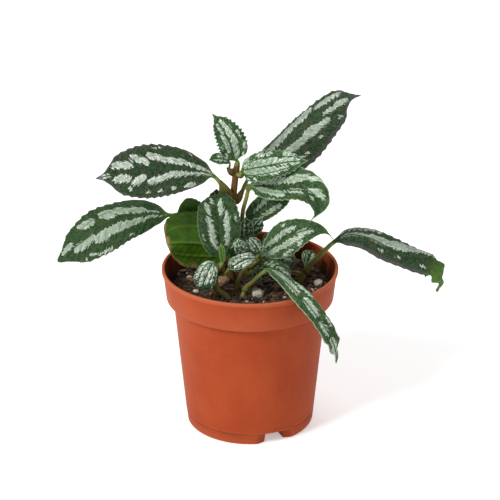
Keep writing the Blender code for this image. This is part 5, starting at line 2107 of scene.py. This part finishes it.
@dataclass(frozen=True)
class Stipule:
    """Thin pointed flap at a node, in the angle between stem and stalk."""

    name: str
    foot: Place
    tip: Place
    width: float
    face: Pair
    thickness: float = 0.25
    bulge: float = 0.8
    waviness: float = 0.1
    least_half: float = 0.12
    rows: int = 16
    columns: int = 11

    def build(self, finish: Material) -> None:
        """Build the flap.

        Args:
            finish: its material.
        """
        foot, tip = np.array(self.foot), np.array(self.tip)
        ahead = unit(tip - foot)
        up = square_to(facing(*self.face), ahead)
        side = np.cross(up, ahead)
        length = float(np.linalg.norm(tip - foot))
        ring = 2 * self.columns
        turns = np.linspace(0.0, math.tau, ring, endpoint=False)
        t = np.cos(turns)
        thick = self.thickness / 2.0 * np.sin(turns)
        points, flat = [], []
        for s in np.linspace(0.0, 1.0, self.rows):
            half = self.width / 2.0 * math.sin(math.pi * (0.22 + 0.78 * s)) ** 0.8
            half = max(half, self.least_half)
            arch = self.bulge * (1.0 - t * t) * half / self.width
            arch = arch + self.waviness * np.sin(9.0 * t + 5.0 * s)
            middle = foot + ahead * length * s + up * self.bulge * math.sin(math.pi * s)
            points.append(middle + np.outer(half * t, side) + np.outer(arch + thick, up))
            flat.append(np.stack([np.full(ring, s * length), t * half, thick], -1))
        faces = ring_faces(self.rows, ring)
        faces.append(tuple(reversed(range(ring))))
        faces.append(tuple((self.rows - 1) * ring + n for n in range(ring)))
        flat_field = np.concatenate(flat)
        fields = {"flat": flat_field, "tone": flat_field[:, 0] / length}
        Form(np.concatenate(points), faces, None, fields).piece(self.name, [finish], Slot.GREEN_STEM)


STIPULES = (
    Stipule("stipule_top_left", (-8.8, 0.8, 107.0), (-13.0, -0.8, 118.6), 6.0, (-12, 15)),
    Stipule("stipule_main_right", (-6.4, 2.0, 106.0), (-3.6, 3.6, 112.6), 3.6, (20, 10)),
    Stipule("stipule_crown", (-7.0, 0.9, 120.4), (-10.4, -0.4, 124.6), 3.0, (-15, 20)),
    Stipule("stipule_crown_right", (-5.2, 0.8, 119.6), (-2.0, -0.6, 121.6), 2.6, (15, 20)),
    Stipule("stipule_front", (-14.2, -13.9, 78.2), (-11.2, -15.4, 84.2), 3.4, (5, 20)),
    Stipule("stipule_middle", (1.0, -8.6, 80.6), (4.6, -10.2, 86.0), 3.2, (10, 20)),
)


@dataclass(frozen=True)
class Foliage:
    """Stems and leaves."""

    stems: tuple[Stem, ...] = STEMS
    leaves: tuple[Leaf, ...] = LEAVES
    stipules: tuple[Stipule, ...] = STIPULES

    def build(self, finishes: Finishes) -> None:
        """Build every stem and leaf.

        Args:
            finishes: materials by name.
        """
        by_name = {stem.name: stem for stem in self.stems}
        for stem in self.stems:
            stem.build(finishes)
        for number, leaf in enumerate(self.leaves):
            LeafMaker(leaf, number, by_name).build(finishes)
        for stipule in self.stipules:
            stipule.build(finishes["stipule"])


@dataclass(frozen=True)
class Lamp:
    """Square soft light: its power in watts, its place and its side in metres."""

    name: str
    power: float
    place: Place
    size: float
    colour: Colour

    def build(self, target: Vector) -> None:
        """Light the scene.

        Args:
            target: what the lamp looks at.
        """
        light = bpy.data.lights.new(self.name, "AREA")
        light.energy = self.power
        light.size = self.size
        light.color = self.colour
        lamp = placed(self.name, light)
        lamp.location = self.place
        aim = target - Vector(self.place)
        lamp.rotation_euler = aim.to_track_quat("-Z", "Y").to_euler()


@dataclass(frozen=True)
class Studio:
    """Pale floor, soft light and the photograph's camera."""

    elevation: float = 24.3
    distance: float = 1000.0
    target_height: float = 84.1
    focal_pixels: float = 2216.0
    frame_pixels: float = 500.0
    sensor: float = 36.0
    floor_size: float = 12.0
    floor_drop: float = 0.05
    floor_colour: Colour = (0.93, 0.93, 0.93)
    sky: float = 0.34
    glow: float = 0.42
    lamps: tuple[Lamp, ...] = (
        Lamp("key_light", 20.0, (-0.95, -0.8, 1.1), 0.45, (1.0, 0.98, 0.95)),
        Lamp("fill_light", 1.2, (1.0, -0.9, 0.7), 0.9, (0.97, 0.98, 1.0)),
        Lamp("top_light", 7.0, (0.1, 0.5, 1.4), 0.9, (1.0, 1.0, 1.0)),
    )

    def floor(self) -> None:
        """Wide pale floor, which isn't part of the plant."""
        r = Recipe("pale_floor")
        grain = r.noise(r.place(), 0.004, 2.0)
        colour = r.mix(grain, self.floor_colour, tuple(0.99 * c for c in self.floor_colour))
        finish = r.finish(
            Base_Color=colour, Roughness=0.9, Emission_Color=colour, Emission_Strength=self.glow
        )
        half = self.floor_size / 2.0
        mesh = bpy.data.meshes.new("floor")
        corners = [(-half, -half, 0.0), (half, -half, 0.0), (half, half, 0.0), (-half, half, 0.0)]
        mesh.from_pydata(corners, [], [(0, 1, 2, 3)])
        mesh.materials.append(finish)
        floor = placed("floor", mesh)
        floor.location.z = -self.floor_drop * MM

    def camera(self) -> None:
        """Camera at the photograph's angle."""
        camera = placed("camera", bpy.data.cameras.new("camera"))
        rise = math.radians(self.elevation)
        back = self.distance * MM
        camera.location = (0.0, -back * math.cos(rise), self.target_height * MM + back * math.sin(rise))
        camera.rotation_euler = (math.pi / 2.0 - rise, 0.0, 0.0)
        camera.data.sensor_width = self.sensor
        camera.data.lens = self.focal_pixels / self.frame_pixels * self.sensor
        bpy.context.scene.camera = camera

    def build(self) -> None:
        """Set up floor, lights, surroundings and camera."""
        scene = bpy.context.scene
        scene.view_settings.view_transform = "Standard"
        world = bpy.data.worlds.new("surroundings")
        world.use_nodes = True
        sky = world.node_tree.nodes["Background"]
        sky.inputs["Color"].default_value = (1.0, 1.0, 1.0, 1.0)
        sky.inputs["Strength"].default_value = self.sky
        scene.world = world
        self.floor()
        for lamp in self.lamps:
            lamp.build(Vector((0.0, 0.0, self.target_height * MM)))
        self.camera()


def main() -> None:
    """Build the plant and the studio."""
    logging.basicConfig(level=logging.INFO, format="%(message)s")
    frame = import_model()
    log.info("%d solids in the frame", len(frame["nodes"]))
    finishes = {name: look.make(name) for name, look in LOOKS.items()}
    Pot().build(finishes)
    MixBed().build(finishes)
    Foliage().build(finishes)
    Studio().build()


if __name__ == "__main__":
    main()
